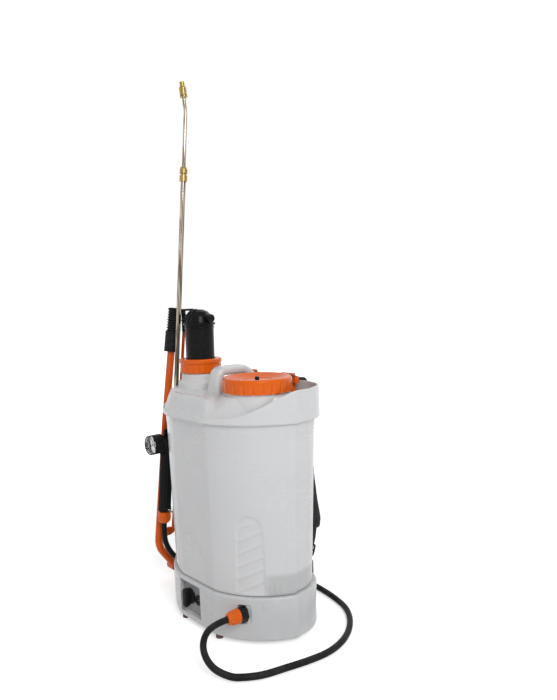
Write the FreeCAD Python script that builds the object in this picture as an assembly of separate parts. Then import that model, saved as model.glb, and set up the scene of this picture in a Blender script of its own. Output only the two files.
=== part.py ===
"""Backpack sprayer: a hollow tank on a base housing, a lever-worked hand pump, a filler with a
screw cap, a trigger handle with a pressure gauge and telescopic lance, a hose and a harness.

Millimetres, +Z up. X runs along the width of the tank (pump at -X, filler at +X) and +Y points at
the wearer's back. The shapes are drawn round the tank's own axis and moved on export, so that the
row's origin is at the centre of the object's foot, hose left out.
"""
import os
import FreeCAD
import Part
from math import atan2, cos, degrees, pi, radians, sin, tan

V = FreeCAD.Vector
Z_AXIS = V(0, 0, 1)

# ---- driving sizes: tank and base ------------------------------------------------------------
HALF_WIDTH = 172.0          # widest half of the base's plan
FRONT_Y = -66.0             # flat front of the base
FRONT_HALF = 50.0           # half length of that flat
SIDE_Y = 34.0               # where the plan is widest
BACK_Y = 122.8              # wearer's side
BACK_HOLLOW = 4.8           # how far the back curves in between its corners
BACK_CORNER = 74.0          # size of the two back corners
BOW_SHARE = (0.76, 0.42)    # middle of each front curve, as shares of its width and depth
BASE_Z = 8.0                # underside of the base plate
SEAM_Z = 88.0               # top of the base, where the tank stands on it
RIM_Z = 398.0               # foot of the collar round the tank's top
WALL_INSET = 6.0            # the tank's wall stands in from the base by this at the seam
RIM_OUTSET = 2.0            # and leans out to this at the collar
TANK_WALL = 3.5
BASE_WALL = 3.0
COLLAR_OUT = 9.0            # collar's reach outside the base's plan
BEAD_HEIGHT = 11.0
SPILL_TOP_Z = RIM_Z + 59.0  # top of the tall spill guard at the filler's side
SPILL_WALL = 3.0
SPILL_BACK_Y = 75.0         # behind this the guard is tall nearly all along the back
SHOULDER_Z = RIM_Z + 42.0   # top of the raised shoulder at the pump's side
SHOULDER_EDGE_X = 28.0      # where the shoulder drops to the filler's deck
SHOULDER_IN = 16.0          # shoulder's slope inward
PLATE_THICK = 3.0
FOOT_RADIUS = 7.0
FOOT_X, FOOT_FRONT_Y, FOOT_BACK_Y = 52.6, -54.0, 108.0

# ---- driving sizes: controls -----------------------------------------------------------------
KNOB_X, SOCKET_X = -30.5, -4.0
PANEL_MID_Z = 51.0
KNOB_RADIUS, KNOB_SHAFT = 15.0, 4.0
SOCKET_RADIUS = 7.0
SOCKET_PROUD = 3.5          # socket's rim stands out by this and stays behind the knob's bar

# ---- driving sizes: filler -------------------------------------------------------------------
FILLER_X, FILLER_Y = 93.0, 21.0
CAP_RADIUS = 63.5
CAP_TOP_Z = RIM_Z + 78.4
CAP_HEIGHT = 25.5
CAP_WALL = 3.2
CAP_NOTCHES = 22
NECK_WALL = 4.0
STRAINER_DEPTH = 62.0
STRAINER_WALL = 2.0
BREATHER_RADIUS = 4.0
BREATHER_STEM = 2.5

# ---- driving sizes: hand pump ----------------------------------------------------------------
PUMP_X, PUMP_Y = -94.7, 34.6
CHAMBER_RADIUS = 29.0
CHAMBER_WALL = 3.0
FLANGE_Z = RIM_Z + 167.0    # joint of the chamber and its dome at rest
CHAMBER_LENGTH = 360.0
BARREL_WALL = 3.2
BARREL_BOTTOM_Z = 130.0
RING_RADIUS = 41.8
RING_TOP_Z = RIM_Z + 100.0
RING_HEIGHT = 27.4
RING_NOTCHES = 18

# ---- driving sizes: lever and rod ------------------------------------------------------------
LEVER_X = -206.0
LEVER_RADIUS = 8.0
PIVOT_Y, PIVOT_Z = 22.0, 34.0
PIN_RADIUS = 5.0
ROD_X = -190.0
ROD_RADIUS = 3.5
ROD_FOOT = (12.0, 114.0)    # y, z of the pin that the lever pushes
ROD_HEAD = (65.5, 576.0)    # y, z of the pin in the pump's arm
GRIP_RADIUS = 14.0
GRIP_LENGTH = 50.0
SLEEVE_RADIUS = 15.5
SLEEVE_LENGTH = 44.0
LEVER_TOP_Z = 599.0
HUB_RADIUS = 12.0           # lever's eye round the pivot pin
BOSS_RADIUS = 9.0           # stud of the base that holds the pin
BOSS_END_X = LEVER_X + 13.0

# ---- driving sizes: trigger handle and lance -------------------------------------------------
GUN_X = -181.0
GUN_FOOT = (-14.5, 146.0)   # y, z of the handle's lower end
GUN_HEAD = (0.5, 306.0)     # y, z of the handle's axis at the valve
GUN_GRIP_RADIUS = 14.0
BAIL_PIVOT_Z = 176.0
BAIL_WIRE = 1.2
GUN_NUT_LENGTH = 23.0
VALVE_RADIUS = 11.0
GRIP_TOP_Z = GUN_HEAD[1] - 11.0
GAUGE_RADIUS = 20.5
GAUGE_DEPTH = 26.0
GAUGE_Z = 317.0
LANCE_FOOT = (22.7, 345.0)
LANCE_LEAN = 0.0915         # run in y for each unit of height
OUTER_TUBE_RADIUS = 5.2
INNER_TUBE_RADIUS = 4.0
TUBE_WALL = 0.9
LOCK_NUT_Z = 866.0
LOCK_NUT_LENGTH = 30.0
BEND_Z = 1013.5
NOZZLE_TILT = 6.5          # degrees of the lance's end back towards the front

# ---- driving sizes: hose ---------------------------------------------------------------------
HOSE_RADIUS = 5.75
FITTING_X, FITTING_Z = 108.0, 58.0
PAD_Y = -36.0               # middle of the recessed flat that the outlet is screwed into
FITTING_TURN = -12.0        # degrees that the outlet is turned from straight forward
HEX_ACROSS = 24.0
HEX_LENGTH = 13.0
HOSE_NUT_LENGTH = 24.0
HOSE_IN = 6.0               # how far each end of the hose goes into its nut

# ---- clearances ------------------------------------------------------------------------------
GAP = 0.3                   # between curved faces that lie side by side
RUN_FIT = 0.05              # radial play of a pin in its hole
SEAT = 0.5                  # play under nuts and knobs


# ---- shape helpers ---------------------------------------------------------------------------
def box(low, high):
    """Box between two corners, each an (x, y, z)."""
    return Part.makeBox(high[0] - low[0], high[1] - low[1], high[2] - low[2], V(*low))


def rod(radius, start, end):
    """Cylinder between two points."""
    a, b = V(*start), V(*end)
    return Part.makeCylinder(radius, (b - a).Length, a, b - a)


def ring(outer, inner, start, end):
    """Round tube between two points."""
    a, b = V(*start), V(*end)
    way = (b - a).normalize()
    bore = Part.makeCylinder(inner, (b - a).Length + 2, a - way, way)
    return rod(outer, start, end).cut(bore)


def turned(profile, x, y, z=0.0, axis=Z_AXIS):
    """Solid of revolution of an (r, height) profile about an axis through (x, y, z)."""
    points = [V(r, 0, h) for r, h in profile]
    face = Part.Face(Part.makePolygon(points + [points[0]]))
    solid = face.revolve(V(0, 0, 0), Z_AXIS, 360)
    solid.Placement = FreeCAD.Placement(V(x, y, z), FreeCAD.Rotation(Z_AXIS, axis))
    return solid


def rounded_path(points, radii):
    """Straight runs joined by tangent arcs: one radius for each inner point."""
    edges = []
    start = points[0]
    for before, corner, after, radius in zip(points, points[1:], points[2:], radii):
        way_in = (corner - before).normalize()
        way_out = (after - corner).normalize()
        turn = way_in.getAngle(way_out)
        cut = radius * tan(turn / 2)
        first, last = corner - way_in * cut, corner + way_out * cut
        middle = corner + (way_out - way_in).normalize() * (radius / cos(turn / 2) - radius)
        edges.append(Part.LineSegment(start, first).toShape())
        edges.append(Part.Arc(first, middle, last).toShape())
        start = last
    edges.append(Part.LineSegment(start, points[-1]).toShape())
    return Part.Wire(edges)


def swept(points, radii, radius):
    """Round bar along a rounded path."""
    path = rounded_path(points, radii)
    circle = Part.Wire(Part.makeCircle(radius, points[0], points[1] - points[0]))
    return path.makePipeShell([circle], True, True)


def notched(solid, radius, count, notch, x, y, low, high):
    """Cuts upright grooves round a solid of the given radius."""
    grooves = []
    for index in range(count):
        angle = 2 * pi * index / count
        reach = radius + notch * 0.55
        px, py = x + reach * cos(angle), y + reach * sin(angle)
        grooves.append(rod(notch, (px, py, low), (px, py, high)))
    return solid.cut(grooves)


def aimed(shape):
    """Turns what is drawn straight forward to the outlet's own direction."""
    shape.rotate(V(FITTING_X, PAD_Y, FITTING_Z), Z_AXIS, FITTING_TURN)
    return shape


def hexagon(across, start, end):
    """Hexagonal bar between two points, by its size across flats."""
    a, b = V(*start), V(*end)
    corner = across / 2 / cos(pi / 6)
    points = [V(corner * cos(pi / 3 * k), corner * sin(pi / 3 * k), 0) for k in range(7)]
    solid = Part.Face(Part.makePolygon(points)).extrude(V(0, 0, (b - a).Length))
    solid.Placement = FreeCAD.Placement(a, FreeCAD.Rotation(Z_AXIS, b - a))
    return solid


def plan(grow, z):
    """Closed D-shaped outline of the tank at a height, grown outward from the base's own."""
    half, front = HALF_WIDTH + grow, FRONT_Y - grow
    back, corner = BACK_Y + grow, BACK_CORNER
    flat = FRONT_HALF
    bow_x, bow_y = BOW_SHARE[0] * half, front + BOW_SHARE[1] * (SIDE_Y - front)
    side_low, side_high = V(half, SIDE_Y, z), V(half - 2, back - corner, z)
    round_mid, round_end = V(half - 0.30 * corner, back - 0.25 * corner, z), V(half - corner, back, z)

    def mirror(point):
        return V(-point.x, point.y, point.z)

    front_right, bow = V(flat, front, z), V(bow_x, bow_y, z)
    middle = V(0, back - BACK_HOLLOW, z)
    edges = [
        Part.LineSegment(mirror(front_right), front_right),
        Part.Arc(front_right, bow, side_low),
        Part.LineSegment(side_low, side_high),
        Part.Arc(side_high, round_mid, round_end),
        Part.Arc(round_end, middle, mirror(round_end)),
        Part.Arc(mirror(round_end), mirror(round_mid), mirror(side_high)),
        Part.LineSegment(mirror(side_high), mirror(side_low)),
        Part.Arc(mirror(side_low), mirror(bow), mirror(front_right)),
    ]
    return Part.Wire([edge.toShape() for edge in edges])


def walls(grow_low, z_low, grow_high, z_high):
    """Solid between two outlines of the tank's plan."""
    return Part.makeLoft([plan(grow_low, z_low), plan(grow_high, z_high)], True, True)


def gun_point(z):
    """Point on the trigger handle's axis at a height."""
    share = (z - GUN_FOOT[1]) / (GUN_HEAD[1] - GUN_FOOT[1])
    return (GUN_X, GUN_FOOT[0] + share * (GUN_HEAD[0] - GUN_FOOT[0]), z)


def lance_point(z):
    """Point on the lance's axis at a height."""
    return (GUN_X, LANCE_FOOT[0] + (z - LANCE_FOOT[1]) * LANCE_LEAN, z)


# ---- tank ------------------------------------------------------------------------------------
NECK_TOP_Z = CAP_TOP_Z - CAP_WALL - 2.5          # cap's gasket lies on this
NECK_RADIUS = CAP_RADIUS - CAP_WALL - GAP
NECK_BORE = NECK_RADIUS - NECK_WALL
RING_BORE = RING_RADIUS - 4.4
PUMP_NECK_RADIUS = RING_BORE - GAP
PUMP_NECK_TOP_Z = RING_TOP_Z - 10.0
BARREL_RADIUS = CHAMBER_RADIUS + 1.0 + BARREL_WALL
PUMP_BORE = BARREL_RADIUS + GAP
DECK_Z = RIM_Z + 6.0


def shoulder_block():
    """Raised shoulder at the pump's side, with leaning sides."""
    reach = HALF_WIDTH + 40
    left = box((-reach, -reach, DECK_Z - 1), (SHOULDER_EDGE_X, reach, SHOULDER_Z))
    return walls(RIM_OUTSET, DECK_Z - 1, RIM_OUTSET - SHOULDER_IN, SHOULDER_Z).common(left)


def tank_shell():
    """Blow-moulded tank: leaning walls, collar, spill guard, shoulder and both necks."""
    outer = walls(-WALL_INSET, SEAM_Z, RIM_OUTSET, RIM_Z)
    hollow = walls(-WALL_INSET - TANK_WALL, SEAM_Z + TANK_WALL, RIM_OUTSET - TANK_WALL, RIM_Z)
    collar = walls(RIM_OUTSET, RIM_Z, COLLAR_OUT, RIM_Z + 4)
    collar = collar.fuse(walls(COLLAR_OUT, RIM_Z + 4, COLLAR_OUT, SPILL_TOP_Z))
    inner = COLLAR_OUT - SPILL_WALL
    bowl = walls(inner, DECK_Z, inner, SPILL_TOP_Z + 1)
    collar = collar.cut(bowl)
    bead_top = RIM_Z + BEAD_HEIGHT
    reach = HALF_WIDTH + 40
    rise = SPILL_TOP_Z - bead_top
    front = [V(-reach, -reach, bead_top), V(30, -reach, bead_top), V(100, -reach, bead_top + 0.25 * rise),
             V(140, -reach, bead_top + 0.6 * rise), V(165, -reach, SPILL_TOP_Z - 5),
             V(reach, -reach, SPILL_TOP_Z),
             V(reach, -reach, SPILL_TOP_Z + 20), V(-reach, -reach, SPILL_TOP_Z + 20)]
    back = [V(-reach, SPILL_BACK_Y, bead_top), V(-60, SPILL_BACK_Y, bead_top),
            V(-45, SPILL_BACK_Y, SPILL_TOP_Z),
            V(-45, SPILL_BACK_Y, SPILL_TOP_Z + 20), V(-reach, SPILL_BACK_Y, SPILL_TOP_Z + 20)]
    for points, way in ((front, V(0, reach + SPILL_BACK_Y, 0)), (back, V(0, reach, 0))):
        collar = collar.cut(Part.Face(Part.makePolygon(points + [points[0]])).extrude(way))

    shoulder = shoulder_block()
    room = box((-reach, -reach, RIM_Z - 1), (SHOULDER_EDGE_X - TANK_WALL, reach, SHOULDER_Z))
    under = RIM_OUTSET - TANK_WALL
    cavity = walls(under, RIM_Z - 1, under - SHOULDER_IN, SHOULDER_Z - TANK_WALL).common(room)

    filler = turned([(0, DECK_Z - 2), (NECK_RADIUS + 7, DECK_Z - 2), (NECK_RADIUS + 3, DECK_Z + 26),
                     (NECK_RADIUS, DECK_Z + 32), (NECK_RADIUS, NECK_TOP_Z), (0, NECK_TOP_Z)],
                    FILLER_X, FILLER_Y)
    pump = turned([(0, SHOULDER_Z - 2), (47, SHOULDER_Z - 2), (45, SHOULDER_Z + 12),
                   (PUMP_NECK_RADIUS + 1.5, SHOULDER_Z + 16), (PUMP_NECK_RADIUS + 1.5, SHOULDER_Z + 27),
                   (PUMP_NECK_RADIUS, SHOULDER_Z + 28), (PUMP_NECK_RADIUS, PUMP_NECK_TOP_Z),
                   (0, PUMP_NECK_TOP_Z)], PUMP_X, PUMP_Y)
    solid = outer.fuse([collar, shoulder, filler, pump])
    groove = rod(OUTER_TUBE_RADIUS + RUN_FIT + 0.6, lance_point(RIM_Z - 12), lance_point(SPILL_TOP_Z))
    solid = solid.cut([hollow, cavity, groove,
                       rod(NECK_BORE, (FILLER_X, FILLER_Y, RIM_Z - 2), (FILLER_X, FILLER_Y, NECK_TOP_Z + 1)),
                       rod(PUMP_BORE, (PUMP_X, PUMP_Y, RIM_Z - 2), (PUMP_X, PUMP_Y, PUMP_NECK_TOP_Z + 1))])
    return solid


HANDLE_WIDTH = 28.0
HANDLE_TOP_Z = RIM_Z + 90.0
HANDLE_FRONT_Y, HANDLE_BACK_Y = 0.0, 92.0
HANDLE_THICK = 14.0
HANDLE_X = 2.0


def carrying_handle():
    """Moulded arch between the pump and the filler."""
    x0 = HANDLE_X - HANDLE_WIDTH / 2
    low, inner = DECK_Z, HANDLE_TOP_Z - HANDLE_THICK
    profile = [V(x0, HANDLE_FRONT_Y - 14, low), V(x0, HANDLE_FRONT_Y - 6, HANDLE_TOP_Z - 14),
               V(x0, HANDLE_FRONT_Y + 8, HANDLE_TOP_Z), V(x0, HANDLE_BACK_Y - 30, HANDLE_TOP_Z),
               V(x0, HANDLE_BACK_Y + 12, HANDLE_TOP_Z - 36), V(x0, HANDLE_BACK_Y + 20, low),
               V(x0, HANDLE_BACK_Y, low), V(x0, HANDLE_BACK_Y - 6, inner - 30),
               V(x0, HANDLE_BACK_Y - 32, inner), V(x0, HANDLE_FRONT_Y + 16, inner),
               V(x0, HANDLE_FRONT_Y + 10, inner - 8), V(x0, HANDLE_FRONT_Y + 8, low)]
    solid = Part.Face(Part.makePolygon(profile + [profile[0]])).extrude(V(HANDLE_WIDTH, 0, 0))
    edges = [e for e in solid.Edges
             if abs(e.Vertexes[0].X - e.Vertexes[-1].X) < 0.1 and e.BoundBox.ZMin > low + 1]
    return solid.makeFillet(3.0, edges).cut(shoulder_block())


# ---- base ------------------------------------------------------------------------------------
PANEL_LOW, PANEL_HIGH = (-52.0, 20.0), (11.0, 82.0)   # x, z corners of the control recess
PANEL_DEPTH = 12.0
PAD_HALF = 17.0
SCREW_RADIUS = 2.2


def base_housing():
    """Hollow base with the control recess in front and the outlet's flat at its corner."""
    outer = walls(-1.0, BASE_Z, 0.0, SEAM_Z)
    inner = walls(-1.0 - BASE_WALL, BASE_Z - 1, -BASE_WALL, SEAM_Z - BASE_WALL)
    solid = outer.cut(inner)
    recess = box((PANEL_LOW[0], FRONT_Y - 20, PANEL_LOW[1]),
                 (PANEL_HIGH[0], FRONT_Y + PANEL_DEPTH, PANEL_HIGH[1]))
    tray = box((PANEL_LOW[0] - BASE_WALL, FRONT_Y + 1, PANEL_LOW[1] - BASE_WALL),
               (PANEL_HIGH[0] + BASE_WALL, FRONT_Y + PANEL_DEPTH, PANEL_HIGH[1] + BASE_WALL))
    pad_low, pad_high = FITTING_Z - PAD_HALF, FITTING_Z + PAD_HALF
    notch = box((FITTING_X - PAD_HALF, FRONT_Y - 20, pad_low), (FITTING_X + PAD_HALF, PAD_Y, pad_high))
    pocket = box((FITTING_X - PAD_HALF - BASE_WALL, PAD_Y - 12, pad_low - BASE_WALL),
                 (FITTING_X + PAD_HALF + BASE_WALL, PAD_Y + BASE_WALL, pad_high + BASE_WALL))
    pocket = aimed(pocket).common(outer)
    bore = rod(9.0 + RUN_FIT, (FITTING_X, PAD_Y - 5, FITTING_Z), (FITTING_X, PAD_Y + 10, FITTING_Z))
    hub_back = -HALF_WIDTH + 45
    hub = rod(BOSS_RADIUS, (hub_back, PIVOT_Y, PIVOT_Z), (BOSS_END_X, PIVOT_Y, PIVOT_Z))
    before = box((PANEL_LOW[0] - 9, FRONT_Y - 9, 0), (PANEL_HIGH[0] + 9, FRONT_Y + 1, 90))
    solid = solid.fuse([tray.cut(before), pocket, hub])
    solid = solid.cut([recess, aimed(notch), aimed(bore),
                       rod(PIN_RADIUS + RUN_FIT, (hub_back + 8, PIVOT_Y, PIVOT_Z), (-300, PIVOT_Y, PIVOT_Z))])
    return solid



def base_plate():
    """Flat closing plate under the base."""
    return walls(-1.2 - BASE_WALL, BASE_Z - PLATE_THICK + 3, -1.2 - BASE_WALL, BASE_Z + 3)


def foot_places():
    """The four feet's x, y."""
    return [(sign * FOOT_X, y) for y in (FOOT_FRONT_Y, FOOT_BACK_Y) for sign in (-1, 1)]


def rubber_feet():
    """Four round feet under the base plate."""
    return Part.makeCompound([rod(FOOT_RADIUS, (x, y, 0), (x, y, BASE_Z)) for x, y in foot_places()])


def screw_places():
    """Round the base's lower edge, in from the plan."""
    return [(-140.0, 40.0), (140.0, 40.0), (-120.0, 100.0), (120.0, 100.0), (-95.0, -25.0), (95.0, -25.0)]


def base_screws():
    """Screws up through the base plate."""
    head = BASE_Z - 1.5
    return Part.makeCompound([rod(2 * SCREW_RADIUS, (x, y, head), (x, y, BASE_Z)) for x, y in screw_places()])


def control_panel():
    """Plate at the bottom of the control recess."""
    face = FRONT_Y + PANEL_DEPTH
    plate = box((PANEL_LOW[0] + GAP, face - 2.5, PANEL_LOW[1] + GAP),
                (PANEL_HIGH[0] - GAP, face, PANEL_HIGH[1] - GAP))
    shaft = rod(KNOB_SHAFT + RUN_FIT, (KNOB_X, face - 9, PANEL_MID_Z), (KNOB_X, face + 9, PANEL_MID_Z))
    socket = rod(SOCKET_RADIUS, (SOCKET_X, face - 9, PANEL_MID_Z), (SOCKET_X, face + 9, PANEL_MID_Z))
    return plate.cut([shaft, socket])



def speed_knob():
    """Round flange with a thick bar grip across it and a short shaft through the panel."""
    face = FRONT_Y + PANEL_DEPTH - 2.5
    flange = rod(KNOB_RADIUS, (KNOB_X, face - GAP, PANEL_MID_Z), (KNOB_X, face - 5, PANEL_MID_Z))
    bar = box((KNOB_X - 6, face - 18, PANEL_MID_Z - KNOB_RADIUS - 3),
              (KNOB_X + 6, face - 4, PANEL_MID_Z + KNOB_RADIUS + 3))
    shaft = rod(KNOB_SHAFT, (KNOB_X, face - 1, PANEL_MID_Z), (KNOB_X, face + 12, PANEL_MID_Z))
    edges = [e for e in bar.Edges if e.BoundBox.YMax < face - 5 or e.Length < 15]
    return flange.fuse([bar.makeFillet(3.0, edges), shaft])


def charge_socket():
    """Round charging socket in the panel."""
    face = FRONT_Y + PANEL_DEPTH - 2.5
    place = (SOCKET_X, face - SOCKET_PROUD, PANEL_MID_Z)
    body = rod(SOCKET_RADIUS + 2.5, place, (SOCKET_X, face - GAP, PANEL_MID_Z))
    body = body.fuse(rod(SOCKET_RADIUS - GAP, place, (SOCKET_X, face + 14, PANEL_MID_Z)))
    bore = rod(SOCKET_RADIUS - 2.5, (SOCKET_X, face - 6, PANEL_MID_Z), (SOCKET_X, face + 8, PANEL_MID_Z))
    return body.cut(bore)


def socket_contact():
    """Brass centre pin of the charging socket."""
    face = FRONT_Y + PANEL_DEPTH - 2.5
    return rod(1.5, (SOCKET_X, face - 2, PANEL_MID_Z), (SOCKET_X, face + 8, PANEL_MID_Z))


FLOOR_IN = BASE_Z + 3.0


BATTERY_LOW = (-70.0, 20.0, FLOOR_IN)
BATTERY_SIZE = (95.0, 70.0, 62.0)
MOTOR_X, MOTOR_FRONT_Y = 82.0, 20.0
MOTOR_HEAD = (60.0, 50.0, 60.0)
MOTOR_RADIUS, MOTOR_LENGTH = 18.0, 42.0


def battery_pack():
    """Sealed battery standing on the base plate."""
    return Part.makeBox(*BATTERY_SIZE, V(*BATTERY_LOW))


def electric_pump():
    """Diaphragm pump: motor can and square head."""
    mid = FLOOR_IN + MOTOR_HEAD[2] / 2
    back = MOTOR_FRONT_Y + MOTOR_HEAD[1]
    head = Part.makeBox(*MOTOR_HEAD, V(MOTOR_X - MOTOR_HEAD[0] / 2, MOTOR_FRONT_Y, FLOOR_IN))
    return head.fuse(rod(MOTOR_RADIUS, (MOTOR_X, back, mid), (MOTOR_X, back + MOTOR_LENGTH, mid)))


def outlet_fitting():
    """Hexagonal outlet with its spigot through the base's wall."""
    end_y = PAD_Y - HEX_LENGTH
    solid = hexagon(HEX_ACROSS, (FITTING_X, PAD_Y, FITTING_Z), (FITTING_X, end_y, FITTING_Z))
    solid = solid.fuse(rod(9.0, (FITTING_X, PAD_Y - 1, FITTING_Z), (FITTING_X, PAD_Y + 8, FITTING_Z)))
    solid = solid.fuse(rod(8.0, (FITTING_X, end_y + 1, FITTING_Z), (FITTING_X, end_y - 12, FITTING_Z)))
    return aimed(solid.cut(rod(3.5, (FITTING_X, -200, FITTING_Z), (FITTING_X, PAD_Y + 9, FITTING_Z))))


def tank_hose_nut():
    """Fluted hose nut on the outlet, tapering to the hose."""
    start_y = PAD_Y - HEX_LENGTH - GAP
    profile = [(8.0 + GAP, 0), (12.6, 0), (12.8, 3), (12.0, HOSE_NUT_LENGTH - 8), (8.5, HOSE_NUT_LENGTH),
               (HOSE_RADIUS + GAP, HOSE_NUT_LENGTH), (HOSE_RADIUS + GAP, 13), (8.0 + GAP, 13)]
    return aimed(turned(profile, FITTING_X, start_y, FITTING_Z, V(0, -1, 0)))


# ---- filler ----------------------------------------------------------------------------------
def strainer_basket():
    """Basket with a rim on the filler's neck and rows of slots in its wall."""
    top = NECK_TOP_Z
    outer, low = NECK_BORE - 1.0, top - STRAINER_DEPTH
    solid = ring(outer, outer - STRAINER_WALL, (FILLER_X, FILLER_Y, low), (FILLER_X, FILLER_Y, top))
    solid = solid.fuse([rod(outer, (FILLER_X, FILLER_Y, low), (FILLER_X, FILLER_Y, low + STRAINER_WALL)),
                        ring(NECK_RADIUS - 1, outer - STRAINER_WALL, (FILLER_X, FILLER_Y, top),
                             (FILLER_X, FILLER_Y, top + 1.2))])
    cuts = []
    for index in range(10):
        slot = box((FILLER_X + outer - 6, FILLER_Y - 5, low + 8),
                   (FILLER_X + outer + 4, FILLER_Y + 5, top - 16))
        slot.rotate(V(FILLER_X, FILLER_Y, 0), Z_AXIS, 36 * index)
        cuts.append(slot)
    return solid.cut(cuts)


def cap_gasket():
    """Flat ring that seals the cap on the neck."""
    low = NECK_TOP_Z + 1.2
    return ring(NECK_RADIUS - 1, NECK_BORE + 0.5, (FILLER_X, FILLER_Y, low), (FILLER_X, FILLER_Y, low + 1.2))


def filler_cap():
    """Dished screw cap with a fluted skirt and a hole for the breather."""
    low, top = CAP_TOP_Z - CAP_HEIGHT, CAP_TOP_Z
    under = top - CAP_WALL + GAP
    profile = [(NECK_RADIUS + GAP, low), (CAP_RADIUS, low), (CAP_RADIUS, top - 8),
               (CAP_RADIUS - 3, top - 1.5), (CAP_RADIUS - 6, top), (CAP_RADIUS - 12, top),
               (CAP_RADIUS - 20, top - 5),
               (22, top - 7), (20, top - 5),
               (18, top - 7), (BREATHER_STEM, top - 7), (BREATHER_STEM, top - 10),
               (CAP_RADIUS - 24, top - 8.5), (CAP_RADIUS - 16, under), (NECK_RADIUS + GAP, under)]
    solid = turned(profile, FILLER_X, FILLER_Y)
    return notched(solid, CAP_RADIUS, CAP_NOTCHES, 2.4, FILLER_X, FILLER_Y, low - 1, top - 8)


def breather_knob():
    """Small knob over the breather hole in the cap's middle."""
    top = CAP_TOP_Z - 7
    return turned([(0, -4), (BREATHER_STEM - RUN_FIT, -4), (BREATHER_STEM - RUN_FIT, GAP),
                   (BREATHER_RADIUS, GAP), (BREATHER_RADIUS, 5), (BREATHER_RADIUS - 1, 6.5), (0, 6.5)],
                  FILLER_X, FILLER_Y, top)


# ---- hand pump -------------------------------------------------------------------------------
def pump_barrel():
    """Fixed barrel hanging in the tank from a flange on the pump's neck."""
    top = PUMP_NECK_TOP_Z
    foot, head = (PUMP_X, PUMP_Y, BARREL_BOTTOM_Z), (PUMP_X, PUMP_Y, top)
    solid = ring(BARREL_RADIUS, CHAMBER_RADIUS + 1.0, foot, head)
    solid = solid.fuse(rod(BARREL_RADIUS, foot, (PUMP_X, PUMP_Y, BARREL_BOTTOM_Z + 4)))
    solid = solid.fuse(ring(PUMP_NECK_RADIUS, CHAMBER_RADIUS + 1.0, head, (PUMP_X, PUMP_Y, top + 4)))
    return solid.cut(rod(6, (PUMP_X, PUMP_Y, BARREL_BOTTOM_Z - 1), (PUMP_X, PUMP_Y, BARREL_BOTTOM_Z + 9)))


def pump_ring_nut():
    """Fluted ring nut that holds the barrel's flange down."""
    low, top = RING_TOP_Z - RING_HEIGHT, RING_TOP_Z
    under = PUMP_NECK_TOP_Z + 4 + GAP
    profile = [(RING_BORE, low), (RING_RADIUS, low), (RING_RADIUS - 0.6, top - 9),
               (RING_RADIUS + 1.2, top - 7),
               (RING_RADIUS + 1.2, top - 3), (RING_RADIUS - 1.5, top), (CHAMBER_RADIUS + 1.6, top),
               (CHAMBER_RADIUS + 1.6, under), (RING_BORE, under)]
    solid = turned(profile, PUMP_X, PUMP_Y)
    return notched(solid, RING_RADIUS, RING_NOTCHES, 1.9, PUMP_X, PUMP_Y, low - 1, top - 9)


def pump_chamber():
    """Moving pressure chamber."""
    low = FLANGE_Z - CHAMBER_LENGTH
    foot, head = (PUMP_X, PUMP_Y, low), (PUMP_X, PUMP_Y, FLANGE_Z)
    solid = ring(CHAMBER_RADIUS, CHAMBER_RADIUS - CHAMBER_WALL, foot, head)
    return solid.fuse(rod(CHAMBER_RADIUS, (PUMP_X, PUMP_Y, low), (PUMP_X, PUMP_Y, low + 4)))


ARM_WIDTH = 16.0
ARM_HEIGHT = 20.0
PLATE_X = ROD_X + 6.0        # outer face of the arm's end plate
SLOT_UP = 12.5
SLOT_SIDE = 5.0


def pump_dome():
    """Domed head with a flange, a port boss and a slotted arm that the rod hooks into."""
    dome_top = FLANGE_Z + 32
    profile = [(0, FLANGE_Z), (CHAMBER_RADIUS + 2.5, FLANGE_Z), (CHAMBER_RADIUS + 2.5, FLANGE_Z + 5),
               (CHAMBER_RADIUS - 0.5, FLANGE_Z + 6), (CHAMBER_RADIUS - 3.5, FLANGE_Z + 18),
               (CHAMBER_RADIUS - 11, FLANGE_Z + 27), (CHAMBER_RADIUS - 20, dome_top - 1), (0, dome_top)]
    solid = turned(profile, PUMP_X, PUMP_Y)
    ribs = []
    for index in range(4):
        x = PUMP_X - 22 + 9 * index
        ribs.append(rod(1.8, (x - 4, PUMP_Y - 25, FLANGE_Z + 9), (x + 6, PUMP_Y - 8, dome_top - 3)))
    solid = solid.fuse(ribs)
    solid = solid.fuse(rod(PORT_RADIUS + 1.0, (PORT_X - 20, PORT_Y, PORT_Z), (PORT_X, PORT_Y, PORT_Z)))
    plate_y, plate_z = ROD_HEAD[0] + 1, ROD_HEAD[1] - 4
    plate = box((PLATE_X, plate_y - 13, plate_z - 24), (PLATE_X + 6, plate_y + 15, plate_z + 25))
    slot = box((PLATE_X - 5, ROD_HEAD[0] - SLOT_SIDE, ROD_HEAD[1] - 4.5),
               (PLATE_X + 15, ROD_HEAD[0] + 2 * SLOT_SIDE, ROD_HEAD[1] + SLOT_UP + 4))
    way = V(PLATE_X + 5, ROD_HEAD[0] + 1, 0) - V(PUMP_X, PUMP_Y, 0)
    angle = degrees(atan2(way.y, way.x))
    arm = box((20, -ARM_WIDTH / 2, FLANGE_Z), (way.Length, ARM_WIDTH / 2, FLANGE_Z + ARM_HEIGHT))
    hollow = ARM_WIDTH / 2 - 3.5
    arm = arm.cut(box((33, -hollow, FLANGE_Z - 1), (way.Length + 9, hollow, FLANGE_Z + ARM_HEIGHT - 4)))
    arm.rotate(V(0, 0, 0), Z_AXIS, angle)
    arm.translate(V(PUMP_X, PUMP_Y, 0))
    arm = arm.cut(box((-400, -400, 0), (PLATE_X + 1, 400, 900)))
    port = rod(PORT_RADIUS - 3, (PORT_X - 10, PORT_Y, PORT_Z), (PORT_X + 5, PORT_Y, PORT_Z))
    return solid.fuse([plate, arm]).cut([slot, port])


PORT_RADIUS = 8.0
PORT_X, PORT_Y, PORT_Z = PUMP_X + 31.0, PUMP_Y + 3.0, FLANGE_Z + 13.5


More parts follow.
